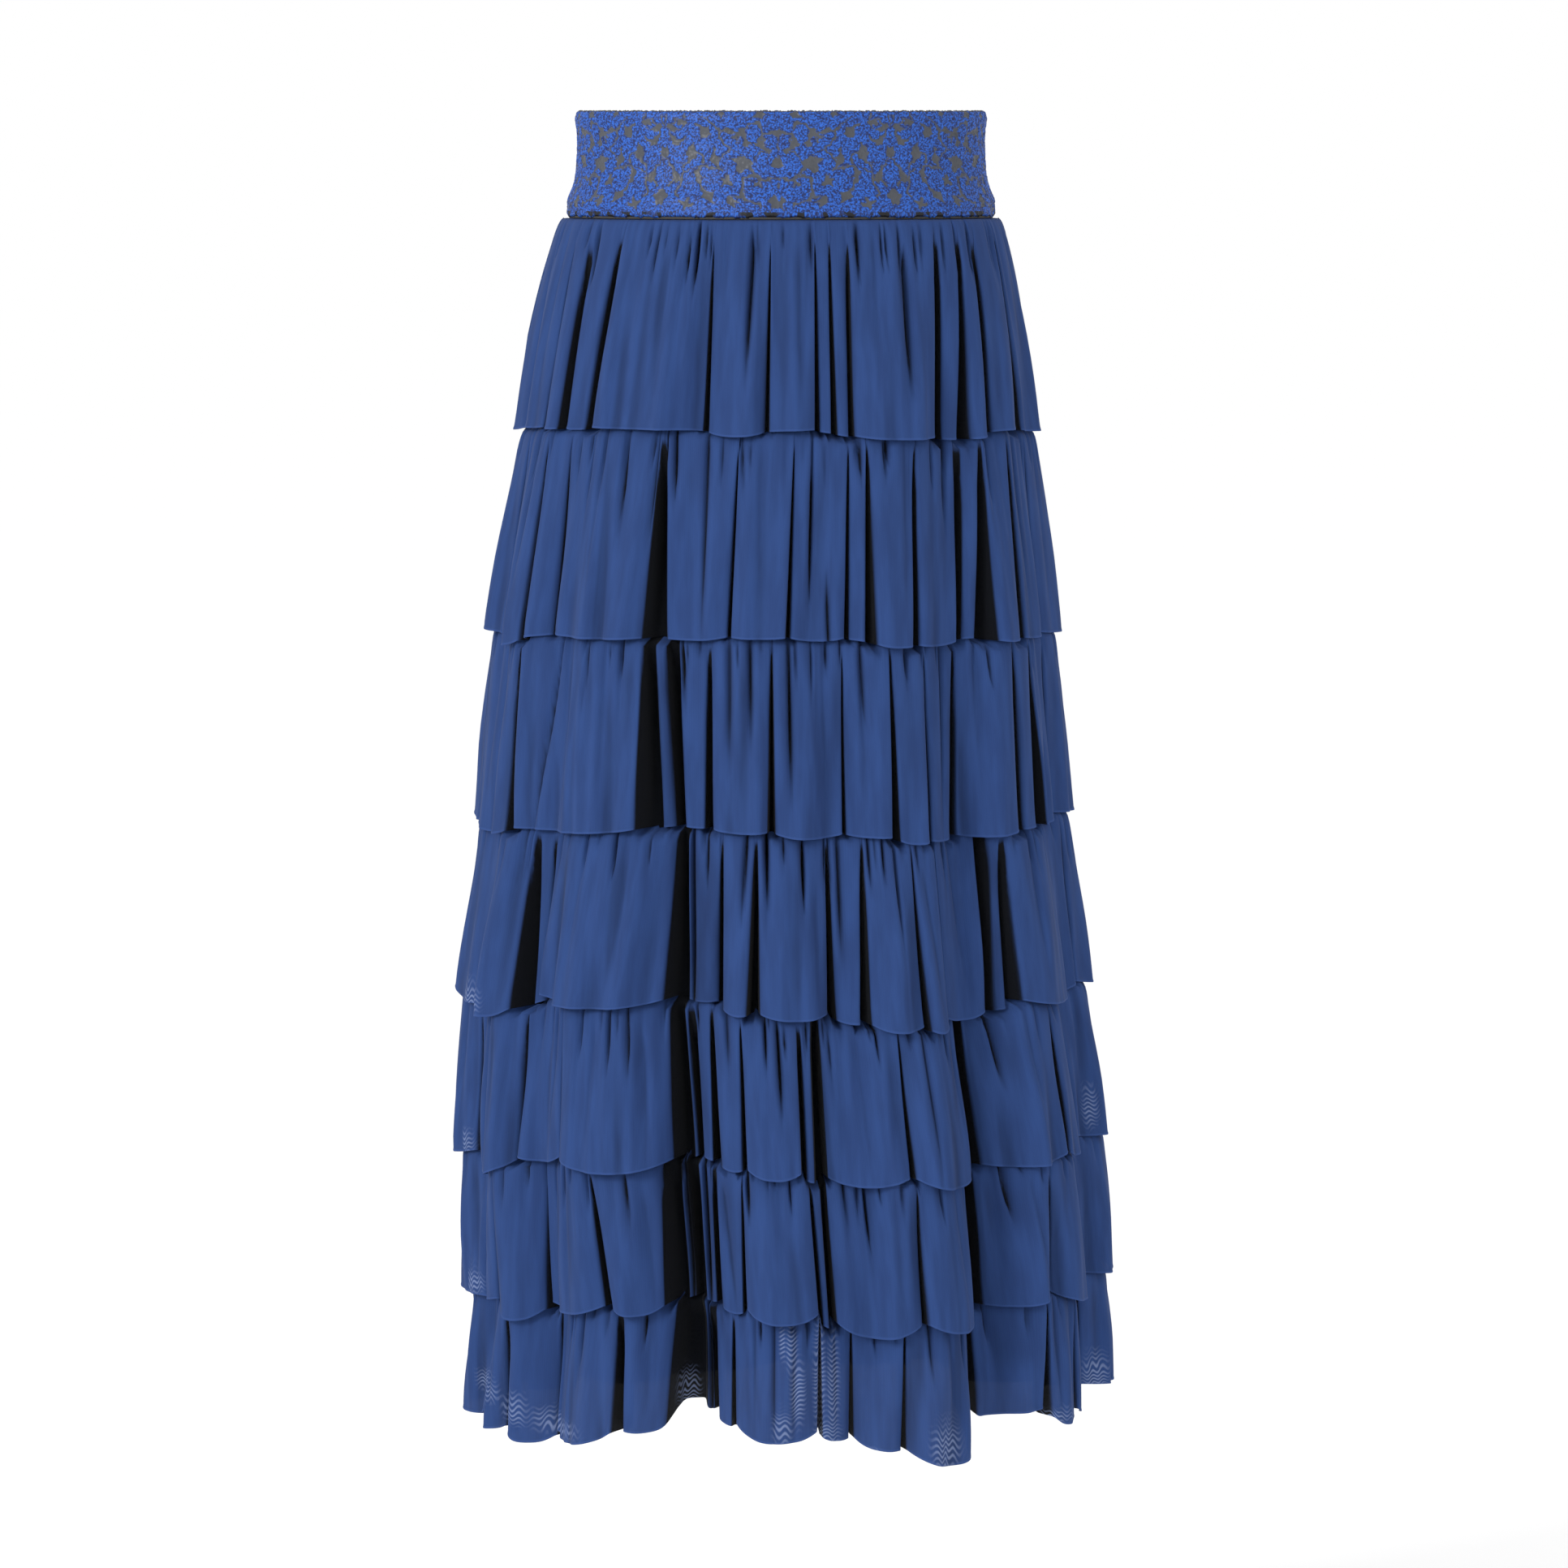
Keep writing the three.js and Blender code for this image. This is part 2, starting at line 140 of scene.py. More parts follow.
# for each ruffle from the waist down: how far its side valleys are shifted, in degrees,
# and the width of each half's strip before it was gathered, in metres
SIDE_SHIFTS = (-4.0, 3.5, -2.5, 5.0, -5.0, 2.0, 4.5)
CUTS = (0.68, 0.81, 0.86, 0.91, 0.98, 0.97, 1.0)


@dataclass(frozen=True)
class Drape:
    """How the mesh hangs, the same in every ruffle.

    Attributes:
        crown: how far a lobe's middle stands out, as a share of its width.
        crown_range: the least and greatest crown.
        crown_sinks: share of the crown by which the whole lobe is set back.
        squareness: the power that flattens a lobe's middle, and its hem's.
        wave, streak: depth of the slow waves and of the finer streaks on a lobe.
        wave_pitch, streak_pitch: how far apart they lie.
        free_width: a lobe this wide waves and lifts its corners fully.
        hollow_shade: how dark the hollows between the waves are.
        recess_shade: how dark a lobe that stands well back is.
        soft_roll, sharp_roll: how far a lobe's edge rolls off, and over what width.
        soft_gap: only an edge beside a narrower valley than this is soft.
        notch_reach: degrees either side that a gather is worked out over.
        valley_lift: a valley's floor over the base skirt at the hem.
        deepest: depth from which a valley stays open up to its seam.
        narrows, stays_open: how much narrower a valley is at the seam than at the hem, and
            the same for the deepest valleys.
        wide: gap from which a valley's floor in the lowest ruffle has a hem of its own.
        floor_rises: how far that hem lies above the higher of its two lobes'.
        bend, bend_share: half the width of the hem's step between lobes, at least and as a
            share of the lobe's width.
        least_turn: a gap at the side is widened by no more than one over this.
        lid, lid_opens: how far a ruffle stays behind the hem that covers its seam, and how
            fast it may come forward below that hem.
        seam_cover: how far a hem reaches below the seam that it covers.
        hem_bead: how far the rolled hem stands off the mesh.
        short_share: the share of the small gathers that are short and sharp.
        short_gather, long_gather: the limits of a small gather's end, as a share of the
            height, and of its depth and half width.
        gather_lean: how far a small gather's top leans, as a rule.
        gather_step: the least and greatest way from one small gather to the next.
    """

    crown: float = 0.16
    crown_range: tuple[float, float] = (1.0, 4.6)
    crown_sinks: float = 0.35
    squareness: float = 2.4
    wave: float = 2.9
    wave_pitch: float = 32.0
    streak: float = 0.7
    streak_pitch: float = 15.0
    free_width: float = 40.0
    hollow_shade: float = 0.27
    recess_shade: float = 0.32
    soft_roll: tuple[float, float] = (3.0, 4.0)
    sharp_roll: tuple[float, float] = (0.6, 1.6)
    soft_gap: float = 5.0
    notch_reach: float = 14.0
    valley_lift: float = 6.0
    deepest: float = 19.0
    narrows: float = 0.85
    stays_open: float = 0.45
    wide: float = 7.5
    floor_rises: float = 5.0
    bend: float = 3.0
    bend_share: float = 0.14
    least_turn: float = 0.6
    lid: float = 1.5
    lid_opens: float = 3.0
    seam_cover: float = 7.0
    hem_bead: float = 0.3
    short_share: float = 0.75
    short_gather: tuple[tuple[float, float], ...] = ((0.14, 0.42), (2.5, 6.5), (0.9, 1.9))
    long_gather: tuple[tuple[float, float], ...] = ((0.6, 1.3), (1.2, 2.6), (3.0, 6.0))
    gather_lean: float = 3.0
    gather_step: tuple[float, float] = (6.0, 17.0)


DRAPE = Drape()


def half_turn(angle: np.ndarray) -> np.ndarray:
    """The same angle, brought between -180 and 180 degrees."""
    return (angle + 180.0) % 360.0 - 180.0


def smooth(value: np.ndarray, low: float, high: float) -> np.ndarray:
    """Rises from 0 to 1 between low and high, level at both ends."""
    share = np.clip((value - low) / (high - low), 0.0, 1.0)
    return share * share * (3.0 - 2.0 * share)


def soft_least(first: np.ndarray, second: np.ndarray, blend: float) -> np.ndarray:
    """The lesser of two values, rounded off where they are within a blend of each other."""
    return -blend * np.logaddexp(-first / blend, -second / blend)


def on_floor(off: np.ndarray, gap: np.ndarray, spare: float) -> np.ndarray:
    """Share of a valley's floor in each point: 1 on the floor, falling to 0 up its walls.
    Both walls' folds take up 1.1 of the gap, and half the floor is 0.42 of the rest.

    Args:
        off: millimetres from the valley's middle.
        gap: the valley's width at the hem.
        spare: how much further each way the floor reaches.

    Returns:
        The share, one over one plus the eighth power of the distance in half floors.
    """
    half = 0.42 * (gap - 1.1) + spare
    return 1.0 / (1.0 + (off / half) ** 8)


def slow_waves(angle: np.ndarray, pitch: float, round_mm: float, seed: int) -> np.ndarray:
    """Smooth uneven waves round the skirt: a sum of seven sines that close on themselves.

    Args:
        angle: degrees round from the centre front.
        pitch: about how far apart the waves lie, in millimetres.
        round_mm: the way round the skirt, in millimetres.
        seed: picks the waves.

    Returns:
        Values between about -1 and 1.
    """
    chance = np.random.default_rng(seed)
    turns = np.radians(angle)
    middle = round_mm / pitch
    total = np.zeros_like(angle)
    for waves in chance.uniform(0.6 * middle, 1.5 * middle, 7):
        total += np.sin(round(waves) * turns + chance.uniform(0.0, 6.28))
    return total / 3.0


def grid_object(name: str, points: np.ndarray, cloth: np.ndarray, closed: bool = False,
                joined: bool = False) -> bpy.types.Object:
    """Makes a mesh object from a grid of points in rows down the cloth, faces outwards.

    Args:
        name: the object's name.
        points: rows by columns by three, in millimetres.
        cloth: each point's place on the flat cloth, in millimetres.
        closed: whether the last column joins the first.
        joined: whether the last row joins the first.

    Returns:
        The new object, in metres.
    """
    rows, cols = points.shape[:2]
    steps = cols if closed else cols - 1
    strips = rows if joined else rows - 1
    r = np.arange(strips)[:, None]
    c = np.arange(steps)[None, :]
    below = (r + 1) % rows
    after = (c + 1) % cols
    quads = np.stack([r * cols + c, below * cols + c, below * cols + after, r * cols + after], axis=-1)
    quads = quads.reshape(-1, 4)
    mesh = bpy.data.meshes.new(name)
    mesh.from_pydata((points.reshape(-1, 3) * MILLI).tolist(), [], quads.tolist())
    layer = mesh.uv_layers.new(name="cloth")
    flat = cloth.reshape(-1, 2)[quads.reshape(-1)] * MILLI
    if closed:
        wrapped = np.tile(c == steps - 1, (strips, 1)).reshape(-1)
        turn = float(cloth[0, -1, 0] + (cloth[0, -1, 0] - cloth[0, -2, 0])) * MILLI
        flat = flat.reshape(-1, 4, 2)
        flat[wrapped, 2:, 0] = turn
    layer.data.foreach_set("uv", flat.reshape(-1))
    mesh.polygons.foreach_set("use_smooth", np.ones(len(quads), dtype=bool))
    mesh.update()
    thing = bpy.data.objects.new(name, mesh)
    bpy.context.scene.collection.objects.link(thing)
    return thing


def add_value(thing: bpy.types.Object, name: str, values: np.ndarray) -> None:
    """Gives each of the mesh's points a number, under a name that its material reads."""
    layer = thing.data.attributes.new(name, "FLOAT", "POINT")
    layer.data.foreach_set("value", values.reshape(-1).astype(np.float32))


def add_wall(thing: bpy.types.Object, thickness: float) -> None:
    """Gives a sheet its thickness, inwards from its face.

    Args:
        thing: the sheet's object.
        thickness: in millimetres.
    """
    wall = thing.modifiers.new("wall", "SOLIDIFY")
    wall.thickness = thickness * MILLI
    wall.offset = -1.0
    wall.use_even_offset = False


@dataclass(frozen=True)
class BaseForm:
    """The fluted cone that carries every ruffle.

    Attributes:
        outline: the oval at each height, from the band down.
        flutes: every flute, from the left round to the back.
        rows, columns: the grid of each panel.
        sinks: how far the panels' face lies inside the outline.
        radius: the radius that their cloth is laid out by.
    """

    outline: tuple[Oval, ...] = (
        Oval(-37.1, 141.2, 101.1, 0, 0, 0.0),
        Oval(-170, 149, 120, -2, 6, 0.2),
        Oval(-303, 164.5, 136, -4.5, 6, 0.4),
        Oval(-429, 172.5, 148, -4.5, 5, 0.62),
        Oval(-549, 184.5, 158, -4, 3, 0.82),
        Oval(-650, 191, 164, 1, 0, 0.94),
        Oval(-752, 190.5, 166, 6, 0, 1.0),
    )
    flutes: tuple[Flute, ...] = (
        Flute(-76, 12, 14),
        Flute(-52, 12, 22),
        Flute(-18, 13, 31),
        Flute(12, 11, 16),
        Flute(42, 13, 32),
        Flute(74, 12, 16),
        Flute(108, 13, 20),
        Flute(138, 13, 26),
        Flute(168, 14, 20),
        Flute(204, 14, 24),
        Flute(236, 13, 24),
    )
    rows: int = 20
    columns: int = 121
    sinks: float = 0.1
    radius: float = 185.0

    def at(self, name: str, z: np.ndarray) -> np.ndarray:
        """One of the outline's numbers at a height, between the ovals in a straight line."""
        ovals = sorted(self.outline)
        return np.interp(z, [oval.z for oval in ovals], [getattr(oval, name) for oval in ovals])

    def flute_depth(self, angle: np.ndarray) -> np.ndarray:
        """Depth of the flutes at the hem: a squared cosine round each flute's middle.

        Args:
            angle: degrees round from the centre front.

        Returns:
            The depth in millimetres.
        """
        depth = np.zeros_like(angle)
        for flute in self.flutes:
            off = np.abs(half_turn(angle - flute.at)) / flute.reach
            depth += flute.deep * np.where(off < 1.0, np.cos(off * math.pi / 2.0) ** 2, 0.0)
        return depth

    def over(self, angle: np.ndarray, z: np.ndarray, height: np.ndarray) -> np.ndarray:
        """Points a height off the base skirt: the oval's point at that angle, moved along
        the oval's outward normal by the height less the flute's depth there.

        Args:
            angle: degrees round from the centre front.
            z: millimetres above the origin.
            height: millimetres off the base skirt's outer face.

        Returns:
            The points, in millimetres, with x, y and z along the last axis.
        """
        wide = self.at("half_width", z)
        deep = self.at("half_depth", z)
        s = np.sin(np.radians(angle))
        c = np.cos(np.radians(angle))
        length = np.hypot(deep * s, wide * c)
        out = height - self.flute_depth(angle) * self.at("flute", z)
        x = self.at("side", z) + wide * s + out * deep * s / length
        y = self.at("back", z) - deep * c - out * wide * c / length
        return np.stack([x, y, z + 0.0 * x], axis=-1)

    def per_degree(self, angle: np.ndarray, z: np.ndarray) -> np.ndarray:
        """The way round the oval for one degree: the length of its tangent there.

        Args:
            angle: degrees round from the centre front.
            z: millimetres above the origin.

        Returns:
            Millimetres for one degree.
        """
        wide = self.at("half_width", z)
        deep = self.at("half_depth", z)
        s = np.sin(np.radians(angle))
        c = np.cos(np.radians(angle))
        return np.hypot(wide * c, deep * s) * math.pi / 180.0

    def keep_seam(self, points: np.ndarray, side: Side) -> None:
        """Moves a panel's side edges half the seam's gap from the other panel's.

        Args:
            points: the panel's points, changed in place.
            side: the half that the panel covers.
        """
        shift = -SEAM_GAP / 2.0 if side is Side.FRONT else SEAM_GAP / 2.0
        for column in (0, -1):
            points[:, column, 1] = self.at("back", points[:, column, 2]) + shift

    def build(self, side: Side) -> bpy.types.Object:
        """Builds one panel, a fluted sheet from the band to the last seam.

        Args:
            side: the half that the panel covers.

        Returns:
            The panel.
        """
        start, end = side.value
        top, hem = self.outline[0].z, self.outline[-1].z
        angle = np.linspace(start, end, self.columns)[None, :]
        z = np.linspace(top, hem, self.rows)[:, None]
        points = self.over(angle, z, 0.0 * angle * z - self.sinks)
        self.keep_seam(points, side)
        across = np.radians(angle - start) * self.radius
        cloth = np.stack(np.broadcast_arrays(across, z[0] - z), axis=-1)
        panel = grid_object(f"base_{side.name.lower()}_mesh", points, cloth)
        near_hem = np.broadcast_to(1.0 - (z - hem), points.shape[:2])
        add_value(panel, "near_hem", near_hem.clip(-HEM_ZONE, 1.0))
        add_wall(panel, CLOTH)
        return panel


BASE = BaseForm()


@dataclass
class Ruffle:
    """One gathered tier, made as a height over the base skirt.

    Attributes:
        name: the tier's name, which its nodes' names start with.
        seam: height of its seam.
        hem: height of its hem before each lobe's own drop.
        stand: how far its lobes stand off the base skirt.
        rise: how far the corners of a wide lobe's hem rise over its middle.
        folds: its front valleys from left to right.
        creases: its softer front troughs from left to right.
        cut: width of each half's strip before it was gathered, in metres.
        is_lowest: whether no ruffle hangs below it.
        seed: picks its gathers.
        side_shift: how far its side valleys lie from the other ruffles', in degrees.
        ring: every valley all round, with its angle.
        troughs: every trough all round, with its angle.
        over: the ruffle whose hem covers its seam.
        thin: where the light comes through its front.
    """

    name: str
    seam: float
    hem: float
    stand: float
    rise: float
    folds: tuple[Fold, ...]
    creases: tuple[Crease, ...] = ()
    cut: float = 0.0
    is_lowest: bool = False
    seed: int = 0
    side_shift: float = 0.0
    ring: list[tuple[float, Fold]] = field(default_factory=list)
    troughs: list[tuple[float, Crease]] = field(default_factory=list)
    over: "Ruffle | None" = None
    thin: tuple[Thin, ...] = ()

    def angle_of(self, across: float) -> float:
        """The angle at which the ruffle's middle surface lies that far across: the arc sine
        of the distance from the middle over the half width.

        Args:
            across: millimetres to the right of the origin.

        Returns:
            Degrees round from the centre front.
        """
        reach = float(BASE.at("half_width", self.hem)) + self.stand / 2.0
        off = across - float(BASE.at("side", self.hem))
        return math.degrees(math.asin(off / reach))

    def turned_fold(self, fold: Fold) -> tuple[float, Fold]:
        """A fold as it lies round the skirt.

        Args:
            fold: the fold as it shows from the front.

        Returns:
            Its angle, and the fold with its gap as measured round the skirt.
        """
        angle = self.angle_of(fold.across)
        turn = max(DRAPE.least_turn, math.cos(math.radians(angle)))
        return angle, fold._replace(gap=fold.gap / turn)

    def close_ring(self, twin: "Ruffle") -> None:
        """Lists the valleys all round, with the twin's folds turned to the back.

        Args:
            twin: the ruffle whose folds the back takes.
        """
        front = [self.turned_fold(fold) for fold in self.folds]
        sides = [(at + self.side_shift, Fold(0, 0, gap, deep, 1, 0)) for at, gap, deep in SIDE_FOLDS]
        low, high = sides[0][0] + SIDE_CLEAR, sides[1][0] - SIDE_CLEAR
        back: list[tuple[float, Fold]] = []
        before = -math.inf
        for fold in (fold for fold in twin.folds if fold.deep >= BACK_LEAST):
            angle, wider = twin.turned_fold(fold)
            angle += 180.0
            if low < angle < high:
                if angle - before > BACK_SPACING:
                    back.append((angle, wider))
                before = angle
        self.ring = sorted(front + sides + back, key=lambda item: item[0])

    def gather_up(self, twin: "Ruffle") -> None:
        """Lists the troughs all round: the front's own, the twin's turned to the back, and
        small gathers at uneven steps between them.

        Args:
            twin: the ruffle whose troughs the back takes.
        """
        self.troughs = [(self.angle_of(crease.across), crease) for crease in self.creases]
        self.troughs += [(180.0 + twin.angle_of(crease.across), crease) for crease in twin.creases]
        chance = np.random.default_rng(self.seed)
        angle = 0.0
        while angle < 360.0:
            short = chance.random() < DRAPE.short_share
            limits = DRAPE.short_gather if short else DRAPE.long_gather
            end, deep, half = [chance.uniform(*pair) for pair in limits]
            lean = DRAPE.gather_lean * chance.normal()
            self.troughs.append((angle, Crease(0.0, lean, 0.0, end, deep, half)))
            step = chance.uniform(*DRAPE.gather_step)
            angle += step / float(BASE.per_degree(np.array(angle), np.array(self.hem)))

    def columns(self, side: Side) -> np.ndarray:
        """Hem angles of a panel's columns: even steps of a total that grows faster at each
        valley and a little faster at each gather.

        Args:
            side: the half that the panel covers.

        Returns:
            Degrees round from the centre front.
        """
        start, end = side.value
        fine = np.arange(start, end + FINE / 2.0, FINE)
        scale = BASE.per_degree(fine, np.array(self.hem))
        crowd = np.full_like(fine, PLAIN)
        for angle, _ in self.ring:
            off = half_turn(fine - angle) * scale
            crowd += IN_VALLEY[0] * np.exp(-(off / IN_VALLEY[1]) ** 2)
        for angle, crease in self.troughs:
            off = half_turn(fine - angle) * scale
            crowd += IN_GATHER[0] * np.exp(-(off / (IN_GATHER[1] + crease.half)) ** 2)
        total = np.concatenate([[0.0], np.cumsum(crowd[1:] * scale[1:] * FINE)])
        return np.interp(np.linspace(0.0, total[-1], int(total[-1]) + 1), total, fine)

    def lobes(self, angle: np.ndarray) -> dict[str, np.ndarray]:
        """What lobe each point lies in.

        Args:
            angle: degrees round from the centre front, at the hem.

        Returns:
            How far across its lobe each point lies, from 0 to 1, the lobe's span in
            degrees, and each number of its fold, of the next and of the one before.
        """
        starts = np.array([item[0] for item in self.ring])
        folds = [item[1] for item in self.ring]
        first = starts[0]
        placed = (angle - first) % 360.0 + first
        index = np.clip(np.searchsorted(starts, placed, side="right") - 1, 0, len(folds) - 1)
        following = (index + 1) % len(folds)
        before = (index - 1) % len(folds)
        span = (starts[following] - starts[index]) % 360.0
        found = {"share": (placed - starts[index]) / span, "span": span}
        columns = {name: [getattr(fold, name) for fold in folds]
                   for name in ("lean", "gap", "deep", "proud", "drop")}
        columns["turned"] = np.random.default_rng(self.seed + 5).choice([-1, 1], len(folds))
        for name, column in columns.items():
            values = np.array(column, dtype=float)
            found[name] = values[index]
            found[name + "_next"] = values[following]
            found[name + "_before"] = values[before]
        return found

    def swell(self, v: np.ndarray) -> np.ndarray:
        """How far the face has swelled out. The first ruffle leaves the band freely, as a
        power under one half; the others are pushed out at once by their gathers, as one
        less an exponential.

        Args:
            v: share of the height, from the seam down.

        Returns:
            Share of the full stand.
        """
        if self.over is None:
            return 1.06 * (v + 0.002) ** 0.45
        return 1.0 - np.exp(-v / 0.026) + 0.08 * v

    def lobe_face(self, hem_angle: np.ndarray, v: np.ndarray, lobe: dict[str, np.ndarray],
                  width: np.ndarray) -> tuple[np.ndarray, np.ndarray]:
        """A lobe's face before its edges and gathers: out to the full stand, crowned across
        its width, with slow waves and finer streaks over it, and painted shade in the hollows between
        the waves.

        Args:
            hem_angle: degrees round from the centre front, at the hem.
            v: share of the height, from the seam down.
            lobe: what lobe each point lies in.
            width: that lobe's width, in millimetres.

        Returns:
            The height, and the painted shade in the hollows, from 0 to 1.
        """
        around = math.pi * (BASE.at("half_width", self.hem) + BASE.at("half_depth", self.hem))
        face = SEAM_HEIGHT + self.stand * self.swell(v)
        crown = np.clip(DRAPE.crown * width, *DRAPE.crown_range) * smooth(v, 0.02, 0.7)
        bow = 1.0 - np.abs(2.0 * lobe["share"] - 1.0) ** DRAPE.squareness
        ceiling = face + lobe["proud"] * smooth(v, 0.0, 1.0) + crown * (bow - DRAPE.crown_sinks)
        wave = slow_waves(hem_angle + 3.0 * v, DRAPE.wave_pitch, around, self.seed + 3)
        streak = slow_waves(hem_angle - 1.5 * v, DRAPE.streak_pitch, around, self.seed + 4)
        free = np.clip(width / DRAPE.free_width, 0.1, 1.0)
        ceiling = ceiling + DRAPE.wave * wave * smooth(v, 0.1, 0.9) * free
        ceiling = ceiling + DRAPE.streak * streak * smooth(v, 0.05, 0.4) * free
        # painted shade in the hollows between the waves
        hollow = smooth(-0.6 * wave - 0.4 * streak, -0.1, 1.0)
        return ceiling, DRAPE.hollow_shade * hollow * smooth(v, 0.0, 0.3) * free

    def press_gathers(self, top: np.ndarray, crease: np.ndarray, hem_angle: np.ndarray,
                      scale: np.ndarray, v: np.ndarray) -> None:
        """Presses each trough into the face, in place, as a notch that fades in and out
        along its length, and paints shade into it where it is deep and narrow.

        Args:
            top: the face's height.
            crease: the painted shade in the creases, raised in place.
            hem_angle: degrees round from the centre front, at the hem.
            scale: millimetres round for one degree.
            v: share of the height, from the seam down.
        """
        for angle, trough in self.troughs:
            off = half_turn(hem_angle - angle)
            near = np.abs(off[-1]) < DRAPE.notch_reach
            if near.any():
                off = off[:, near] * scale[:, near] - trough.lean * (1.0 - v)
                fades = trough.end - 0.6 * (trough.end - trough.start)
                along = smooth(v, trough.start - 0.05, trough.start + 0.14)
                along = along * (1.0 - smooth(v, fades, trough.end))
                half = trough.half * (0.65 + 0.5 * v)
                notch = np.exp(-(np.abs(off) / half) ** 1.3)
                top[:, near] -= trough.deep * along * notch
                # painted shade: a deep, narrow notch is darkened in the material
                strength = np.clip(trough.deep * along / 7.0, 0.0, 1.0)
                dark = notch ** 2 * strength * min(1.0, 1.8 / trough.half)
                crease[:, near] = np.maximum(crease[:, near], dark)

    def hem_drop(self, lobe: dict[str, np.ndarray], width: np.ndarray) -> np.ndarray:
        """How far the hem drops. It steps softly from lobe to lobe, and a lobe's corners
        rise. In the lowest ruffle a wide valley's floor has a higher hem of its own.

        Args:
            lobe: what lobe each point lies in.
            width: that lobe's width, in millimetres.

        Returns:
            The drop, in millimetres.
        """
        from_left = lobe["share"] * width
        from_right = (1.0 - lobe["share"]) * width
        bend = DRAPE.bend + DRAPE.bend_share * width
        drop = lobe["drop"]
        drop = drop + 0.5 * (lobe["drop_before"] - drop) * np.exp(-from_left / bend)
        drop = drop + 0.5 * (lobe["drop_next"] - lobe["drop"]) * np.exp(-from_right / bend)
        corner = np.abs(2.0 * lobe["share"] - 1.0) ** DRAPE.squareness
        drop = drop - self.rise * corner * np.clip(width / DRAPE.free_width, 0.15, 1.0)
        for off, end, beyond in ((from_left, "", "_before"), (from_right, "_next", "_next")):
            wide = self.is_lowest & (lobe["gap" + end] > DRAPE.wide)
            share = np.where(wide, on_floor(off, lobe["gap" + end], 1.0), 0.0)
            floor = np.minimum(lobe["drop"], lobe["drop" + beyond]) - DRAPE.floor_rises
            drop = drop + (floor - drop) * share
        return drop

    def pleat(self, hem_angle: np.ndarray, v: np.ndarray) -> tuple[np.ndarray, np.ndarray, np.ndarray]:
        """The ruffle's height off the base skirt, its z, and the painted shade in its creases.

        The face swells out below the seam. Each lobe is crowned and rolls off towards its
        valleys, softly on one side and sharply on the other. Each valley cuts into it with
        a flat floor and steep walls. Gathers are narrow notches that fade out downwards.
        Shade is painted into the valleys and notches, into the hollows between the waves,
        and onto lobes that stand well back.

        Args:
            hem_angle: degrees round from the centre front, at the hem.
            v: share of the height, from the seam down.

        Returns:
            The height and z in millimetres, and the painted shade in the creases from 0 to 1.
        """
        lobe = self.lobes(hem_angle)
        scale = BASE.per_degree(hem_angle, np.array(self.hem)) + 0.0 * v
        width = lobe["span"] * scale
        from_left = lobe["share"] * width
        from_right = (1.0 - lobe["share"]) * width
        ceiling, crease = self.lobe_face(hem_angle, v, lobe, width)

        top = ceiling
        for off, turned, gap in ((from_left, lobe["turned"], lobe["gap"]),
                                 (from_right, -lobe["turned_next"], lobe["gap_next"])):
            soft = (turned > 0) & (gap < DRAPE.soft_gap)
            deep, reach = (np.where(soft, *pair) for pair in zip(DRAPE.soft_roll, DRAPE.sharp_roll))
            top = top - deep * np.exp(-off / reach) * smooth(v, -0.1, 0.45)
        self.press_gathers(top, crease, hem_angle, scale, v)

        # painted shade on a lobe that stands well back
        recess = DRAPE.recess_shade * smooth(-lobe["proud"], 2.0, 7.0)
        crease = np.maximum(crease, recess * smooth(v, 0.0, 0.3))
        face = SEAM_HEIGHT + self.stand * self.swell(v)
        least = SEAM_HEIGHT + DRAPE.valley_lift * v * v
        for off, end in ((from_left, ""), (from_right, "_next")):
            deep = lobe["deep" + end]
            opens = np.where(deep < DRAPE.deepest, smooth(v, 0.02, 0.5), smooth(v, -0.15, 0.35))
            floor = np.maximum(least, face - deep * opens)
            share = on_floor(off, lobe["gap" + end], 0.5)
            # painted shade: darker the deeper a valley's floor lies under the lobe's face
            crease = np.maximum(crease, smooth((ceiling - floor) * share, 0.4, 3.2))
            top = top + (floor - top) * share
        z = self.seam + v * (self.hem - self.seam) - self.hem_drop(lobe, width) * v ** 1.4
        return np.maximum(top, least), z, crease

    def pinch(self, lobe: dict[str, np.ndarray], width: np.ndarray, v: np.ndarray) -> np.ndarray:
        """How far round each point moves, so that every valley narrows upwards while its
        walls keep to their own columns.

        Args:
            lobe: what lobe each point lies in.
            width: that lobe's width, in millimetres.
            v: share of the height, from the seam down.

        Returns:
            Millimetres round the skirt, a share of the way to the valley's middle.
        """
        moved = 0.0
        for way, share, end in ((-1.0, lobe["share"], ""), (1.0, 1.0 - lobe["share"], "_next")):
            off = share * width
            narrows = np.where(lobe["deep" + end] < DRAPE.deepest, DRAPE.narrows, DRAPE.stays_open)
            moved = moved + way * narrows * off * np.exp(-(off / (1.3 * lobe["gap" + end])) ** 2)
        return (1.0 - v) ** 0.8 * moved

    def lid(self, angle: np.ndarray, z: np.ndarray) -> tuple[np.ndarray, np.ndarray]:
        """Keeps the ruffle below behind this one's hem. Under the hem's edge the lid opens
        out with the distance below it.

        Args:
            angle: degrees round from the centre front.
            z: millimetres above the origin.

        Returns:
            The greatest height that the ruffle below may have, and this hem's own z.
        """
        around = np.linspace(-180.0, 180.0, 1801)[None, :]
        above_and_at_hem = np.array([0.94, 1.0])[:, None]
        height, edge, _ = self.pleat(around, above_and_at_hem)
        least = height.min(axis=0)
        for step in (1, 2, 3):
            least = np.minimum(least, np.minimum(np.roll(least, step), np.roll(least, -step)))
        turned = half_turn(angle)
        hem_z = np.interp(turned, around[0], edge[-1])
        opened = DRAPE.lid_opens * np.maximum(0.0, hem_z - z)
        return np.interp(turned, around[0], least) - DRAPE.lid + opened, hem_z

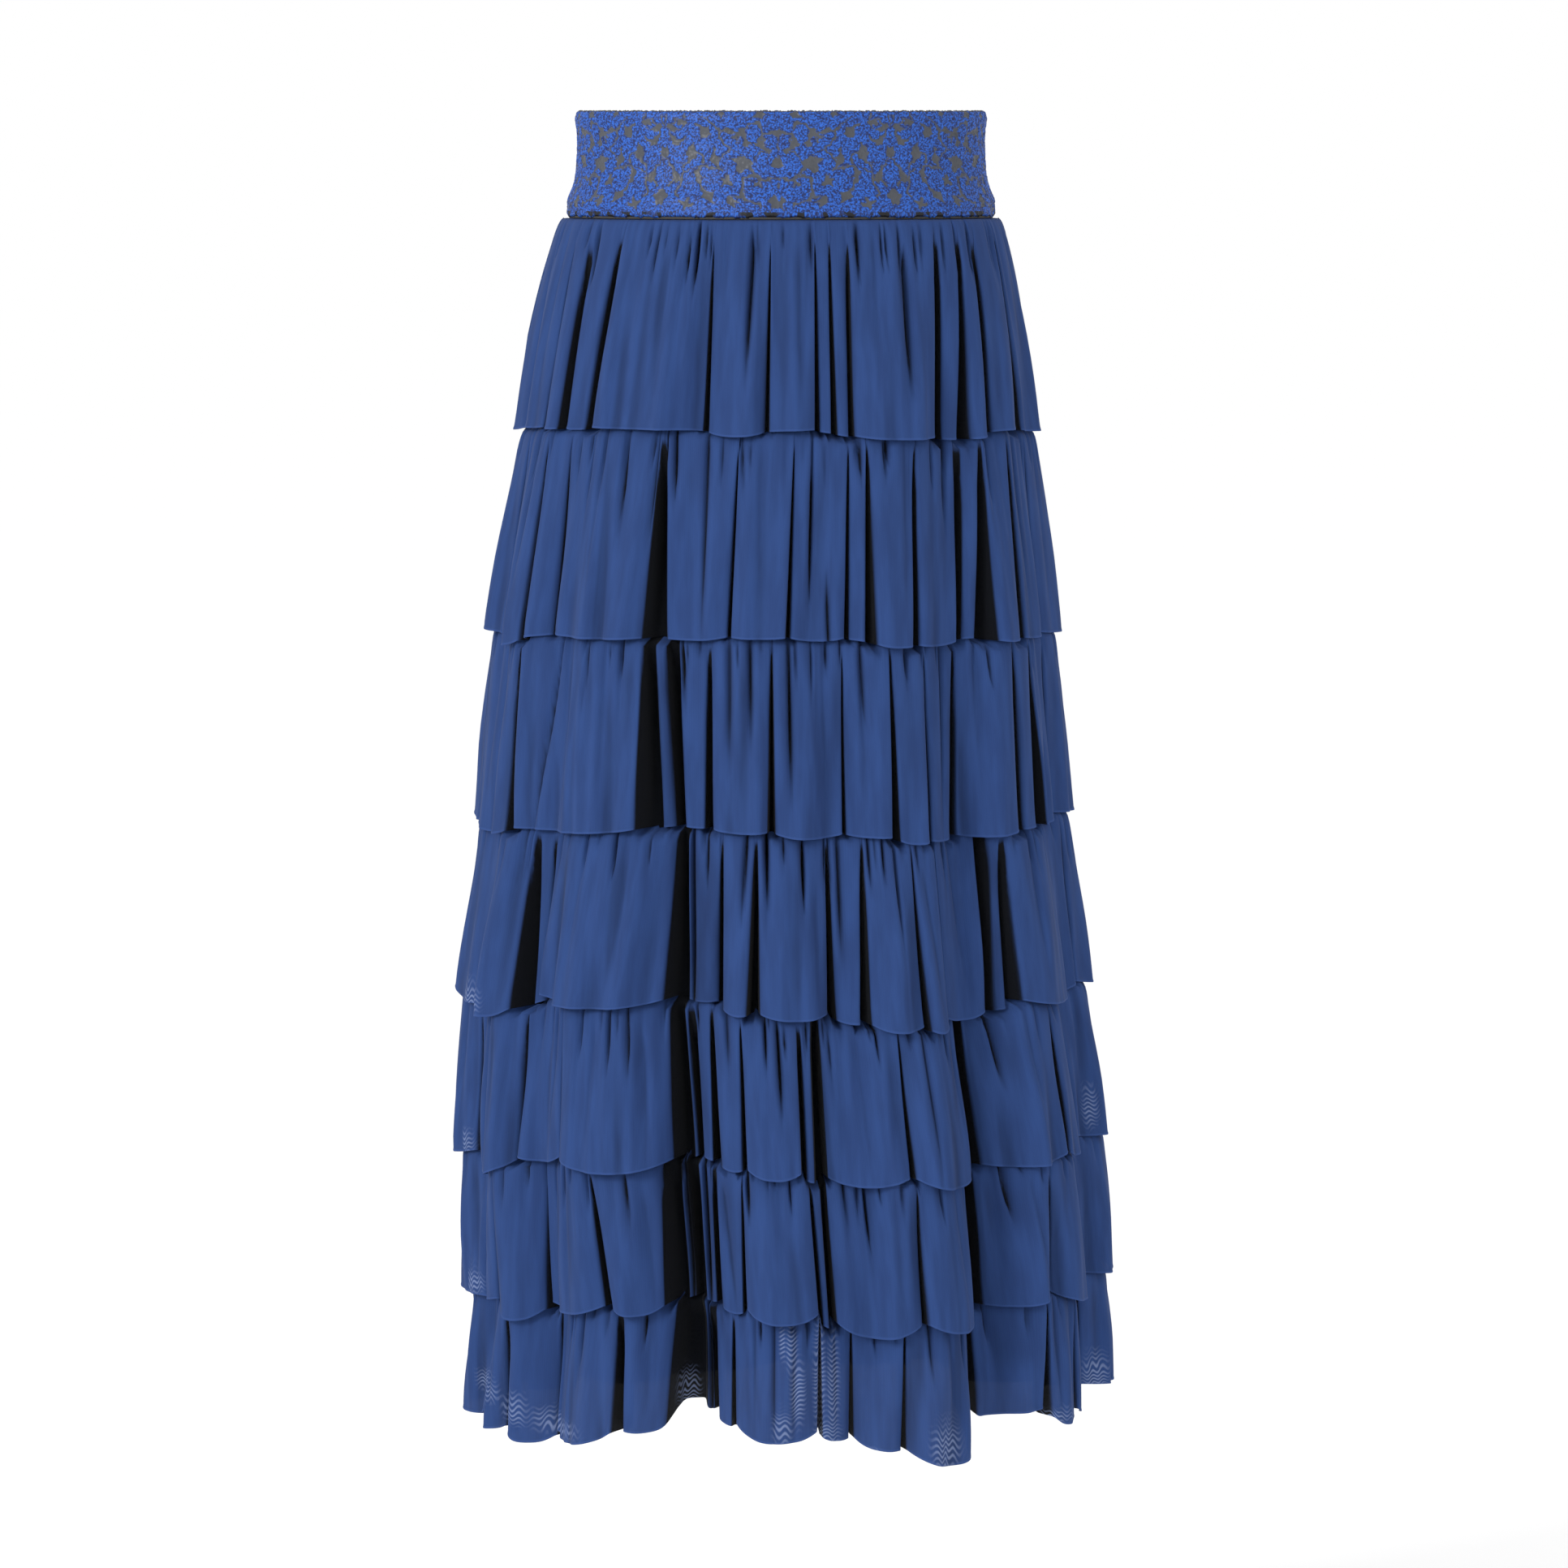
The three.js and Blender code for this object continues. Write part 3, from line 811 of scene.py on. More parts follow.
    def rows(self) -> np.ndarray:
        """Where the panel's rows lie, closer at the seam and at the hem.

        Returns:
            Shares of the height, from the seam down, as one column.
        """
        if self.over is None:
            upper = np.array([0.0, 0.008, 0.02, 0.04, 0.065, 0.1, 0.14, 0.19])
        else:
            upper = np.array([0.0, 0.03, 0.05, 0.07, 0.09, 0.12, 0.15, 0.2])
        middle = np.array([0.25, 0.31, 0.38, 0.46, 0.55, 0.65, 0.75, 0.84, 0.91])
        ends = 1.0 - np.array([5.0, 2.8, 1.6, 0.9, 0.35, 0.0]) / (self.seam - self.hem)
        return np.concatenate([upper, middle, ends])[:, None]

    def light_through(self, points: np.ndarray) -> np.ndarray:
        """How much light comes through the front: a flat-topped bell in each thin place.

        Args:
            points: the ruffle's points.

        Returns:
            A share from 0 to 1 for each point.
        """
        through = np.zeros(points.shape[:2])
        for spot in self.thin:
            off = np.hypot((points[..., 0] - spot.across) / spot.half_width,
                           (points[..., 2] - spot.z) / spot.half_height)
            through = np.maximum(through, np.exp(-off ** 4) * (points[..., 1] < FRONT))
        return through

    def surface(self, side: Side) -> tuple[np.ndarray, np.ndarray, dict[str, np.ndarray]]:
        """One half of the ruffle as a grid of points.

        Args:
            side: the half.

        Returns:
            The points, their places on the cloth, and the numbers that the material reads:
            how near they are to the hem, how much shade is painted in a crease, and how much
            painted light comes through.
        """
        length = self.seam - self.hem
        v = self.rows()
        hem_angle = self.columns(side)[None, :] + 0.0 * v
        height, z, crease = self.pleat(hem_angle, v)
        lobe = self.lobes(hem_angle)
        lean = lobe["lean"] + (lobe["lean_next"] - lobe["lean"]) * lobe["share"]
        moved = lean * (1.0 - v) + self.pinch(lobe, lobe["span"] * BASE.per_degree(hem_angle, z), v)
        angle = hem_angle + moved / BASE.per_degree(hem_angle, z)
        if self.over is not None:
            _, hem_z = self.over.lid(angle, z)
            z = z + np.maximum(0.0, hem_z + DRAPE.seam_cover - self.seam) * (1.0 - v)
            lid, _ = self.over.lid(angle, z)
            height = np.maximum(soft_least(height, lid, 0.5), SEAM_HEIGHT)
        height = height + DRAPE.hem_bead * np.exp(-(((1.0 - v) * length - 0.9) / 0.8) ** 2)

        points = BASE.over(angle, z, height)
        across = np.cumsum(np.concatenate(
            [np.zeros(1), np.hypot(*np.diff(points[-1, :, :2], axis=0).T)]))
        cloth = np.stack(np.broadcast_arrays(across[None, :], v * length), axis=-1)
        near_hem = np.broadcast_to(1.0 - (1.0 - v) * length, height.shape)
        return points, cloth, {
            "near_hem": np.clip(near_hem, -HEM_ZONE, 1.0), "crease": crease,
            "through": self.light_through(points)}

    def build(self, side: Side) -> bpy.types.Object:
        """Builds one panel.

        Args:
            side: the half that the panel covers.

        Returns:
            The panel.
        """
        points, cloth, values = self.surface(side)
        BASE.keep_seam(points, side)
        panel = grid_object(f"{self.name}_{side.name.lower()}_mesh", points, cloth)
        for name, numbers in values.items():
            add_value(panel, name, numbers)
        add_wall(panel, CLOTH)
        return panel


def tiers() -> list[Ruffle]:
    """Lists the seven ruffles from the waist down, each with its valleys and troughs.

    Returns:
        The ruffles, ready to build.
    """
    made = [
        Ruffle("ruffle_1", -37.1, -178, 19, 1.5, (
            Fold(-160, 6, 2.5, 9, 0, -3), Fold(-148, 4, 2.5, 10, 0, -3),
            Fold(-138, 3, 2.5, 9, -1, -3), Fold(-121, 9, 7.5, 18, 2, -5),
            Fold(-49, 0, 3, 9, 0, 0), Fold(-9, 0, 2.5, 10, 2, -5),
            Fold(23, -1, 3, 15, -2, -3), Fold(34, -2, 3.5, 16, -1, -1),
            Fold(45, 0, 3, 13, 2, 2), Fold(101, 6, 4, 16, -1, 3),
            Fold(116, 9, 5.5, 18, -1, 3), Fold(129, 6, 3, 12, 1, -3),
            Fold(147, 4, 6.5, 17, 0, 0),
        ), (
            Crease(-100, 2, 0, 0.2, 5, 1.4), Crease(-80, 3, 0, 0.25, 4, 1.5),
            Crease(-62, 0, 0, 0.4, 8, 1.6), Crease(-53, -3, 0, 0.25, 5, 1.3),
            Crease(-24, 3, 0.08, 0.85, 10, 2.6), Crease(0, 0, 0, 0.16, 5, 1.5),
            Crease(12, 0, 0.1, 1, 2.5, 4), Crease(51, 1, 0, 0.36, 7, 1.5),
            Crease(60, 2, 0, 1.1, 2.5, 3.5), Crease(69, 1, 0, 0.25, 6, 1.4),
            Crease(81, 0, 0.12, 0.95, 10, 2.4), Crease(90, 2, 0, 0.24, 5, 1.3),
            Crease(124, 4, 0, 0.3, 6, 1.3), Crease(139, 3, 0, 0.3, 6, 1.4),
        )),
        Ruffle("ruffle_2", -170, -310, 20, 2, (
            Fold(-176, 4, 2.5, 9, 2, 9), Fold(-161, 3, 2.5, 10, -1, 0),
            Fold(-147, 0, 3, 11, 2, 0), Fold(-80, -3, 11, 18, 0, 0),
            Fold(-33, 2, 2.5, 11, 2, -2), Fold(4, 3, 2.5, 11, 0, 0),
            Fold(42, 2, 3, 12, -2, -1), Fold(56, 0, 5, 17, 3, 5),
            Fold(83, 7, 4, 15, 1, 5), Fold(116, 4, 4, 14, -2, 0),
            Fold(130, 5, 6.5, 18, 0, 4), Fold(149, 3, 4, 15, 0, 3),
            Fold(165, 0, 2.5, 10, -1, 2),
        ), (
            Crease(-168, 2, 0, 0.9, 3, 2), Crease(-131, 2, 0, 0.5, 4, 1.6),
            Crease(-122, 2, 0, 1.1, 2.5, 3.5), Crease(-104, -3, 0, 0.6, 7, 1.6),
            Crease(-90, 2, 0, 0.75, 5, 2.2), Crease(-68, 0, 0, 0.42, 8, 1.6),
            Crease(-51, -1, 0, 1.2, 5, 1.8), Crease(-22, -8, 0, 0.4, 4, 1.6),
            Crease(-12, -6, 0, 1.1, 2.2, 3.5), Crease(17, 0, 0.22, 0.95, 9, 1.3),
            Crease(30, -6, 0.7, 1.3, 5, 1.8), Crease(67, 0, 0, 0.3, 6, 1.4),
            Crease(76, 0, 0, 1, 2.5, 3), Crease(107, 0, 0, 0.6, 5, 1.8),
            Crease(138, 0, 0, 0.4, 6, 1.3), Crease(156, 0, 0, 1, 3, 1.5),
        )),
        Ruffle("ruffle_3", -303, -437, 21, 3, (
            Fold(-188, 0, 2.5, 9, 1, 7), Fold(-169, 0, 6, 17, 2, 0),
            Fold(-84, -4, 9.5, 19, -5, -6), Fold(-68, -6, 6.5, 19, -1, -5),
            Fold(-47, -1, 6, 18, 2, -3), Fold(-6, 0, 4, 15, 2, 1),
            Fold(41, 0, 2.5, 11, 0, 0), Fold(71, 0, 4, 16, 2, 6),
            Fold(92, 2, 3, 12, 0, 5), Fold(117, 4, 5, 17, 1, 4),
            Fold(149, 2, 4.5, 17, -3, 0), Fold(161, 2, 4, 15, 1, 0),
            Fold(175, 0, 2.5, 9, -2, -6),
        ), (
            Crease(-179, 0, 0, 1.1, 3, 1.6), Crease(-158, 16, 0, 1.3, 6, 1.4),
            Crease(-128, 6, 0, 0.5, 4, 1.6), Crease(-112, 0, 0, 1.1, 2.5, 4),
            Crease(-104, 2, 0, 0.3, 6, 1.4), Crease(-60, -3, 0, 0.5, 7, 1.4),
            Crease(-32, -1, 0, 0.85, 7, 3), Crease(-18, -2, 0, 0.7, 7, 2.6),
            Crease(7, -2, 0, 1, 8, 1.9), Crease(20, 0, 0, 0.4, 4, 1.6), Crease(30, -2, 0, 1.2, 2.5, 4),
            Crease(56, -3, 0, 0.6, 5, 2), Crease(81, 0, 0, 0.3, 6, 1.4), Crease(106, 0, 0, 1.1, 5, 1.7),
            Crease(130, 0, 0, 1, 2.5, 4), Crease(138, -4, 0, 0.35, 6, 1.3),
        )),
        Ruffle("ruffle_4", -429, -558, 22, 6, (
            Fold(-191, 0, 2.5, 9, 1, 5), Fold(-169, 3, 5, 18, -4, -8),
            Fold(-160, 5, 2.5, 14, 3, -8), Fold(-71, 2, 10.5, 20, -5, -14),
            Fold(-39, 0, 4, 15, 2, -6), Fold(-17, 2, 7, 18, 2, -3),
            Fold(34, -2, 5, 17, 0, 0), Fold(54, 2, 5, 17, 2, 6),
            Fold(90, -4, 3, 13, 3, 8), Fold(108, -5, 2.5, 10, 2, 2),
            Fold(141, 0, 5, 19, -5, -4), Fold(150, 0, 3, 16, 1, -5),
            Fold(190, 0, 3, 11, -2, -12),
        ), (
            Crease(-190, 4, 0, 1.1, 3, 2.5), Crease(-177, 3, 0, 0.5, 5, 1.5),
            Crease(-134, 4, 0, 1.1, 2.5, 4.5), Crease(-111, 0, 0, 0.36, 7, 1.4),
            Crease(-102, -3, 0, 1, 2.5, 3), Crease(-61, 0, 0, 1.4, 13, 1.5),
            Crease(-50, 0, 0, 0.45, 6, 1.3), Crease(-28, 2, 0, 0.6, 7, 1.5),
            Crease(-6, -1, 0, 0.55, 8, 1.4), Crease(16, 0, 0.04, 0.5, 9, 1.5),
            Crease(24, 0, 0.3, 1.2, 2.5, 3.5), Crease(42, 0, 0, 0.85, 6, 1.4),
            Crease(62, -1, 0, 0.4, 6, 1.4), Crease(78, -1, 0, 0.7, 6, 1.5),
            Crease(102, -6, 0.2, 1.2, 3, 3), Crease(121, -4, 0, 0.4, 6, 1.4),
            Crease(130, -8, 0, 1.1, 3, 3), Crease(165, 0, 0, 1, 3, 3.5),
        )),
        Ruffle("ruffle_5", -549, -659, 22, 8, (
            Fold(-197, 0, 3, 10, -1, 9), Fold(-171, 7, 3, 16, 3, -5),
            Fold(-139, 4, 2.5, 7, 4, -2), Fold(-67, -3, 9, 20, -6, -14),
            Fold(-56.5, -2, 4.5, 18, -3, -12), Fold(-42, 0, 6, 18, 0, -6),
            Fold(-22, 1, 3, 13, 2, -1), Fold(15, 0, 3, 14, -2, 1),
            Fold(26, 2, 7, 19, 2, 5), Fold(82, -3, 3, 13, 4, 8),
            Fold(134, -2, 11, 21, 0, -2), Fold(178, -2, 3, 13, 0, -5),
            Fold(193, 0, 3, 12, -2, -13),
        ), (
            Crease(-186, 0, 0, 1, 3, 3), Crease(-152, 7, 0, 1.2, 3, 2.6),
            Crease(-128, 4, 0, 0.4, 6, 1.5), Crease(-118, 2, 0.1, 1.1, 2.6, 4),
            Crease(-106, 0, 0, 0.5, 7, 1.6), Crease(-92, -3, 0, 0.55, 6, 1.8),
            Crease(-84, -4, 0.2, 1.2, 3, 3), Crease(-30, 0, 0, 0.5, 5, 1.5),
            Crease(-6, 0, 0, 0.45, 7, 1.5), Crease(3, -1, 0.05, 0.75, 8, 1.7),
            Crease(40, -4, 0, 0.6, 4, 1.6), Crease(58, -4, 0.1, 1.2, 3, 3.4),
            Crease(70, -2, 0, 0.4, 6, 1.4), Crease(97, 0, 0, 1.2, 3.5, 1.8),
            Crease(112, 0, 0, 0.4, 6, 1.4), Crease(122, -3, 0, 0.8, 3, 3),
            Crease(155, -3, 0, 0.6, 9, 1.7), Crease(166, -2, 0, 1, 2.6, 3.5),
        )),
        Ruffle("ruffle_6", -650, -753, 22, 9, (
            Fold(-176, 0, 2.5, 8, 2, 10), Fold(-157, 2, 2.5, 14, 2, -2),
            Fold(-105, -12, 4.5, 17, 2, -3), Fold(-71, 0, 8, 20, -8, -16),
            Fold(-58, 0, 8, 20, -5, -12), Fold(-42, 2, 5, 18, 0, -7),
            Fold(-22, 2, 2.5, 11, 3, -1), Fold(26, -4, 3, 14, -3, 1),
            Fold(34, -2, 4, 19, 4, 10), Fold(89, 0, 2.5, 6, 5, 8),
            Fold(138, 0, 12, 21, 0, -4), Fold(172, 0, 2.5, 7, 0, -3),
            Fold(200, -2, 3, 12, -2, -14),
        ), (
            Crease(-190, 0, 0, 1, 3, 3), Crease(-142, 4, 0, 0.5, 5, 1.5),
            Crease(-130, 2, 0, 1.1, 2.6, 4), Crease(-112, 2, 0, 0.4, 6, 1.5),
            Crease(-86, -4, 0, 0.5, 6, 1.5), Crease(-80, -4, 0.2, 1.2, 2.6, 3),
            Crease(-64, 0, 0, 1.4, 12, 1.4), Crease(-50, 0, 0, 1.4, 10, 1.3),
            Crease(-28, -8, 0.15, 1.3, 5, 3.2), Crease(-17, 0, 0, 0.5, 8, 1.5),
            Crease(4, 0, 0, 1.1, 2.6, 4.5), Crease(12, 0, 0, 0.36, 5, 1.4),
            Crease(50, -3, 0, 0.5, 6, 1.5), Crease(62, -2, 0, 0.6, 9, 1.5),
            Crease(76, 0, 0.1, 1.2, 2.6, 4), Crease(106, -4, 0, 0.4, 6, 1.5),
            Crease(118, -6, 0, 1.1, 3, 3), Crease(160, -4, 0, 0.5, 8, 1.6),
            Crease(168, -6, 0.1, 1.2, 2.6, 3),
        )),
        Ruffle("ruffle_7", -744, -834, 20, 8, (
            Fold(-190, 0, 3, 11, 1, 3), Fold(-173, 0, 3, 12, -2, 10),
            Fold(-155, 3, 3, 12, 3, 3), Fold(-101, 0, 6, 17, 1, -8),
            Fold(-65, 0, 18, 20, -8, -22), Fold(-47, 0, 6, 18, -1, -15),
            Fold(-31, 0, 3, 12, 1, -4), Fold(25, 0, 3, 13, 1, -5),
            Fold(47, 0, 3, 15, 0, 2), Fold(78, 0, 3, 14, 3, 15),
            Fold(134, 0, 10, 19, 0, -15), Fold(168, 0, 3, 13, 0, -3),
            Fold(185, 0, 3, 12, 0, -8), Fold(201, 0, 4, 14, -2, -20),
        ), (
            Crease(-180, 0, 0, 1.2, 3, 2), Crease(-138, 3, 0, 1.2, 2.8, 4),
            Crease(-126, 2, 0, 0.5, 7, 1.4), Crease(-112, 2, 0, 0.35, 5, 1.4),
            Crease(-86, -2, 0, 1.2, 2.8, 3.5), Crease(-70, -1, 0, 0.5, 6, 1.4),
            Crease(-52, 0, 0, 1.4, 11, 1.4), Crease(-16, 0, 0, 1.1, 3, 2.4),
            Crease(-4, 0, 0, 1.3, 4, 1.6), Crease(8, 1, 0, 1.3, 3.5, 2), Crease(17, 0, 0, 0.4, 5, 1.4),
            Crease(36, -1, 0, 1.2, 3, 2), Crease(62, 0, 0, 0.4, 5, 1.4), Crease(95, -2, 0, 0.6, 5, 2),
            Crease(108, -3, 0.1, 1.2, 3, 3), Crease(118, -3, 0, 0.5, 6, 1.4),
            Crease(150, -2, 0, 0.45, 6, 1.4), Crease(174, -2, 0, 1.1, 3, 2),
        )),
    ]
    thin = {
        "ruffle_2": (Thin(-196, -262, 7, 40), Thin(-200, -296, 8, 12)),
        "ruffle_4": (Thin(-208, -553, 9, 7),),
        "ruffle_5": (Thin(-214, -652, 9, 7), Thin(206, -628, 5, 12)),
        "ruffle_6": (Thin(-206, -745, 8, 7),),
        "ruffle_7": (Thin(7, -768, 3.5, 15), Thin(11, -796, 4.5, 20), Thin(25, -788, 3.5, 38),
            Thin(34, -794, 3.5, 34), Thin(30, -824, 8, 8), Thin(1, -764, 2, 10), Thin(1, -820, 6, 9),
            Thin(-60, -800, 7, 12), Thin(-150, -829, 15, 6), Thin(-176, -822, 8, 8),
            Thin(-195, -810, 8, 6), Thin(108, -835, 9, 14), Thin(60, -840, 6, 5),
            Thin(210, -806, 9, 12), Thin(176, -824, 18, 4)),
    }
    for i, tier in enumerate(made):
        twin = made[(i + BACK_FROM) % len(made)]
        tier.seed = SEED_STEP * (i + 1)
        tier.side_shift = SIDE_SHIFTS[i]
        tier.cut = CUTS[i]
        tier.is_lowest = i == len(made) - 1
        tier.close_ring(twin)
        tier.gather_up(twin)
        tier.over = made[i - 1] if i else None
        tier.thin = thin.get(tier.name, ())
    return made


def linear(code: str) -> tuple[float, float, float, float]:
    """A colour picker's code as linear red, green, blue and alpha."""
    parts = [int(code[i:i + 2], 16) / 255.0 for i in (1, 3, 5)]
    return (*[p / 12.92 if p <= 0.04045 else ((p + 0.055) / 1.055) ** 2.4 for p in parts], 1.0)


class Shader:
    """A material's node tree, built one node at a time."""

    def __init__(self, name: str) -> None:
        """Makes an empty material of that name."""
        self.material = bpy.data.materials.new(name)
        self.material.use_nodes = True
        self.tree = self.material.node_tree
        self.tree.nodes.clear()

    def add(self, kind: str, inputs: dict | None = None, **settings: object) -> bpy.types.Node:
        """Adds a node with its settings and links.

        Args:
            kind: the node's type.
            inputs: for each input a value, or a socket to link from.
            settings: the node's own properties.

        Returns:
            The node.
        """
        made = self.tree.nodes.new(kind)
        for key, value in settings.items():
            setattr(made, key, value)
        for key, value in (inputs or {}).items():
            if isinstance(value, bpy.types.NodeSocket):
                self.tree.links.new(value, made.inputs[key])
            else:
                made.inputs[key].default_value = value
        return made

    def math(self, operation: str, first: object, second: object = 0.0) -> bpy.types.NodeSocket:
        """One step of arithmetic."""
        return self.add("ShaderNodeMath", {0: first, 1: second}, operation=operation).outputs[0]

    def value_of(self, name: str) -> bpy.types.NodeSocket:
        """The number that the mesh's points carry under a name."""
        return self.add("ShaderNodeAttribute", attribute_name=name).outputs[2]

    def place(self) -> bpy.types.NodeSocket:
        """The place on the flat cloth, in metres."""
        return self.add("ShaderNodeUVMap", uv_map="cloth").outputs[0]

    def noise(self, place: object, scale: float, detail: float) -> bpy.types.NodeSocket:
        """Soft uneven values from 0 to 1."""
        return self.add("ShaderNodeTexNoise", {0: place, 2: scale, 3: detail}).outputs[0]

    def mix(self, factor: object, first: object, second: object) -> bpy.types.NodeSocket:
        """Mixes two colours."""
        node = self.add("ShaderNodeMix", {0: factor, 6: first, 7: second}, data_type="RGBA")
        return node.outputs[2]

    def ramp(self, value: object, low: float, high: float) -> bpy.types.NodeSocket:
        """Rises smoothly from 0 to 1 between low and high."""
        node = self.add("ShaderNodeMapRange", {0: value, 1: low, 2: high, 3: 0.0, 4: 1.0},
                        interpolation_type="SMOOTHSTEP")
        return node.outputs[0]


@dataclass(frozen=True)
class KnitMesh:
    """Fine polyester mesh knit, dyed and rolled at its hems. It is matt, ribbed down its
    length and a little sheer. Its ribs are drawn a little coarser than they are, to show.

    Attributes:
        face, rib_dark: the colours on the ribs and between them.
        hem: the colour of the painted highlight along the rolled hem.
        fold: the colour of the painted shade in the depth of a crease.
        pale: the colour of the painted light where the light comes through.
        rib_pitch: from rib to rib.
        streak, drawn_out: the dye's streaks across the cloth, and their width as a share of
            their length.
        band, chevron: height of one band of the painted moiré light, and how far across its chevrons
            repeat.
        bend, drift: how far the bands bend in a chevron, and how far they wander.
        sheer: share of what lies behind that shows through.
    """

    face: str = "#2e4679"
    rib_dark: str = "#283c69"
    hem: str = "#344c82"
    fold: str = "#0d0f14"
    pale: str = "#7c8bb0"
    rib_pitch: float = 1.0
    streak: float = 7.0
    drawn_out: float = 0.14
    band: float = 3.4
    chevron: float = 9.0
    bend: float = 2.6
    drift: float = 46.0
    sheer: float = 0.07

    def make(self) -> bpy.types.Material:
        """Builds the material: ribs and slow uneven dye, a painted highlight along the rolled hem,
        painted shade in the creases, and bands of painted light where the light comes through.

        Returns:
            The material.
        """
        shader = Shader("knit_mesh")
        place = shader.place()
        wave = {0: place, 1: WAVE_BAND / (self.rib_pitch * MILLI), 2: 0.6, 3: 1.0}
        ribs = shader.add("ShaderNodeTexWave", wave, bands_direction="X").outputs[1]
        cloth = self.dyed(shader, place, ribs)
        # painted highlight: the cloth turns lighter within about 1.5 mm of every hem
        edge = shader.ramp(shader.value_of("near_hem"), -0.6, -0.1)
        cloth = shader.mix(shader.math("MULTIPLY", edge, 0.6), cloth, linear(self.hem))
        # painted shade: the cloth is darkened towards near black in the creases, valley floors, hollows
        # and lobes set well back
        crease = shader.ramp(shader.value_of("crease"), 0.0, 0.7)
        colour = shader.mix(crease, cloth, linear(self.fold))
        # painted light: the colour turns pale in moiré bands where light would come through single mesh
        lit = shader.math("MULTIPLY", shader.value_of("through"), self.moire_light(shader, place))
        colour = shader.mix(shader.math("MULTIPLY", lit, 0.7), colour, linear(self.pale))
        bump = shader.add("ShaderNodeBump", {0: 0.35, 1: 0.00006, 2: ribs}).outputs[0]
        body = shader.add("ShaderNodeBsdfPrincipled", {
            "Base Color": colour, "Roughness": 0.85, "Sheen Weight": 0.03,
            "Sheen Roughness": 0.5, "Normal": bump, "Specular IOR Level": 0.06}).outputs[0]
        clear = shader.add("ShaderNodeBsdfTransparent").outputs[0]
        both = shader.add("ShaderNodeMixShader", {0: self.sheer, 1: body, 2: clear}).outputs[0]
        shader.add("ShaderNodeOutputMaterial", {0: both})
        return shader.material

    def dyed(self, shader: Shader, place: object, ribs: object) -> bpy.types.NodeSocket:
        """The cloth's colour: the ribs and the dye's streaks, drawn out down the cloth.

        Args:
            shader: the material.
            place: the place on the cloth.
            ribs: the ribs' height.

        Returns:
            The colour.
        """
        drawn = shader.add("ShaderNodeMapping", {0: place, 3: (1.0, self.drawn_out, 1.0)}).outputs[0]
        dye = shader.ramp(shader.noise(drawn, 1.0 / (self.streak * MILLI), 3.0), 0.3, 0.7)
        tone = shader.math("ADD", shader.math("MULTIPLY", ribs, 0.35), dye)
        tone = shader.math("MULTIPLY", tone, 0.74)
        return shader.mix(tone, linear(self.rib_dark), linear(self.face))

    def moire_light(self, shader: Shader, place: object) -> bpy.types.NodeSocket:
        """Bands of painted moiré light: a sine of the way down the cloth, bent by a sine of the way
        across and by slow noise.

        Args:
            shader: the material.
            place: the place on the cloth.

        Returns:
            How pale each point is, from 0 to 1.
        """
        axes = shader.add("ShaderNodeSeparateXYZ", {0: place})
        across = shader.math("MULTIPLY", axes.outputs[0], 2 * math.pi / (self.chevron * MILLI))
        down = shader.math("MULTIPLY", axes.outputs[1], 2 * math.pi / (self.band * MILLI))
        zigzag = shader.math("MULTIPLY", shader.math("SINE", across), self.bend)
        drift = shader.math("MULTIPLY", shader.noise(place, 30.0, 1.0), self.drift)
        bent = shader.math("ADD", zigzag, drift)
        return shader.ramp(shader.math("SINE", shader.math("ADD", down, bent)), -0.5, 1.1)


@dataclass(frozen=True)
class Satin:
    """Woven satin bias binding, black, worn dull, with a tan thread along it.

    Attributes:
        face, thread: the satin's colour and the thread's.
        weave: scale of the weave, three bands to a millimetre.
    """

    face: str = "#202126"
    thread: str = "#4a4740"
    weave: float = 900.0

    def make(self) -> bpy.types.Material:
        """Builds the material: a faint weave of two colours under a soft gloss.

        Returns:
            The material.
        """
        shader = Shader("satin_binding")
        wave = {0: shader.place(), 1: self.weave, 2: 2.0}
        weave = shader.add("ShaderNodeTexWave", wave).outputs[1]
        colour = shader.mix(weave, linear(self.face), linear(self.thread))
        body = shader.add("ShaderNodeBsdfPrincipled", {"Base Color": colour, "Roughness": 0.7})
        shader.add("ShaderNodeOutputMaterial", {0: body.outputs[0]})
        return shader.material


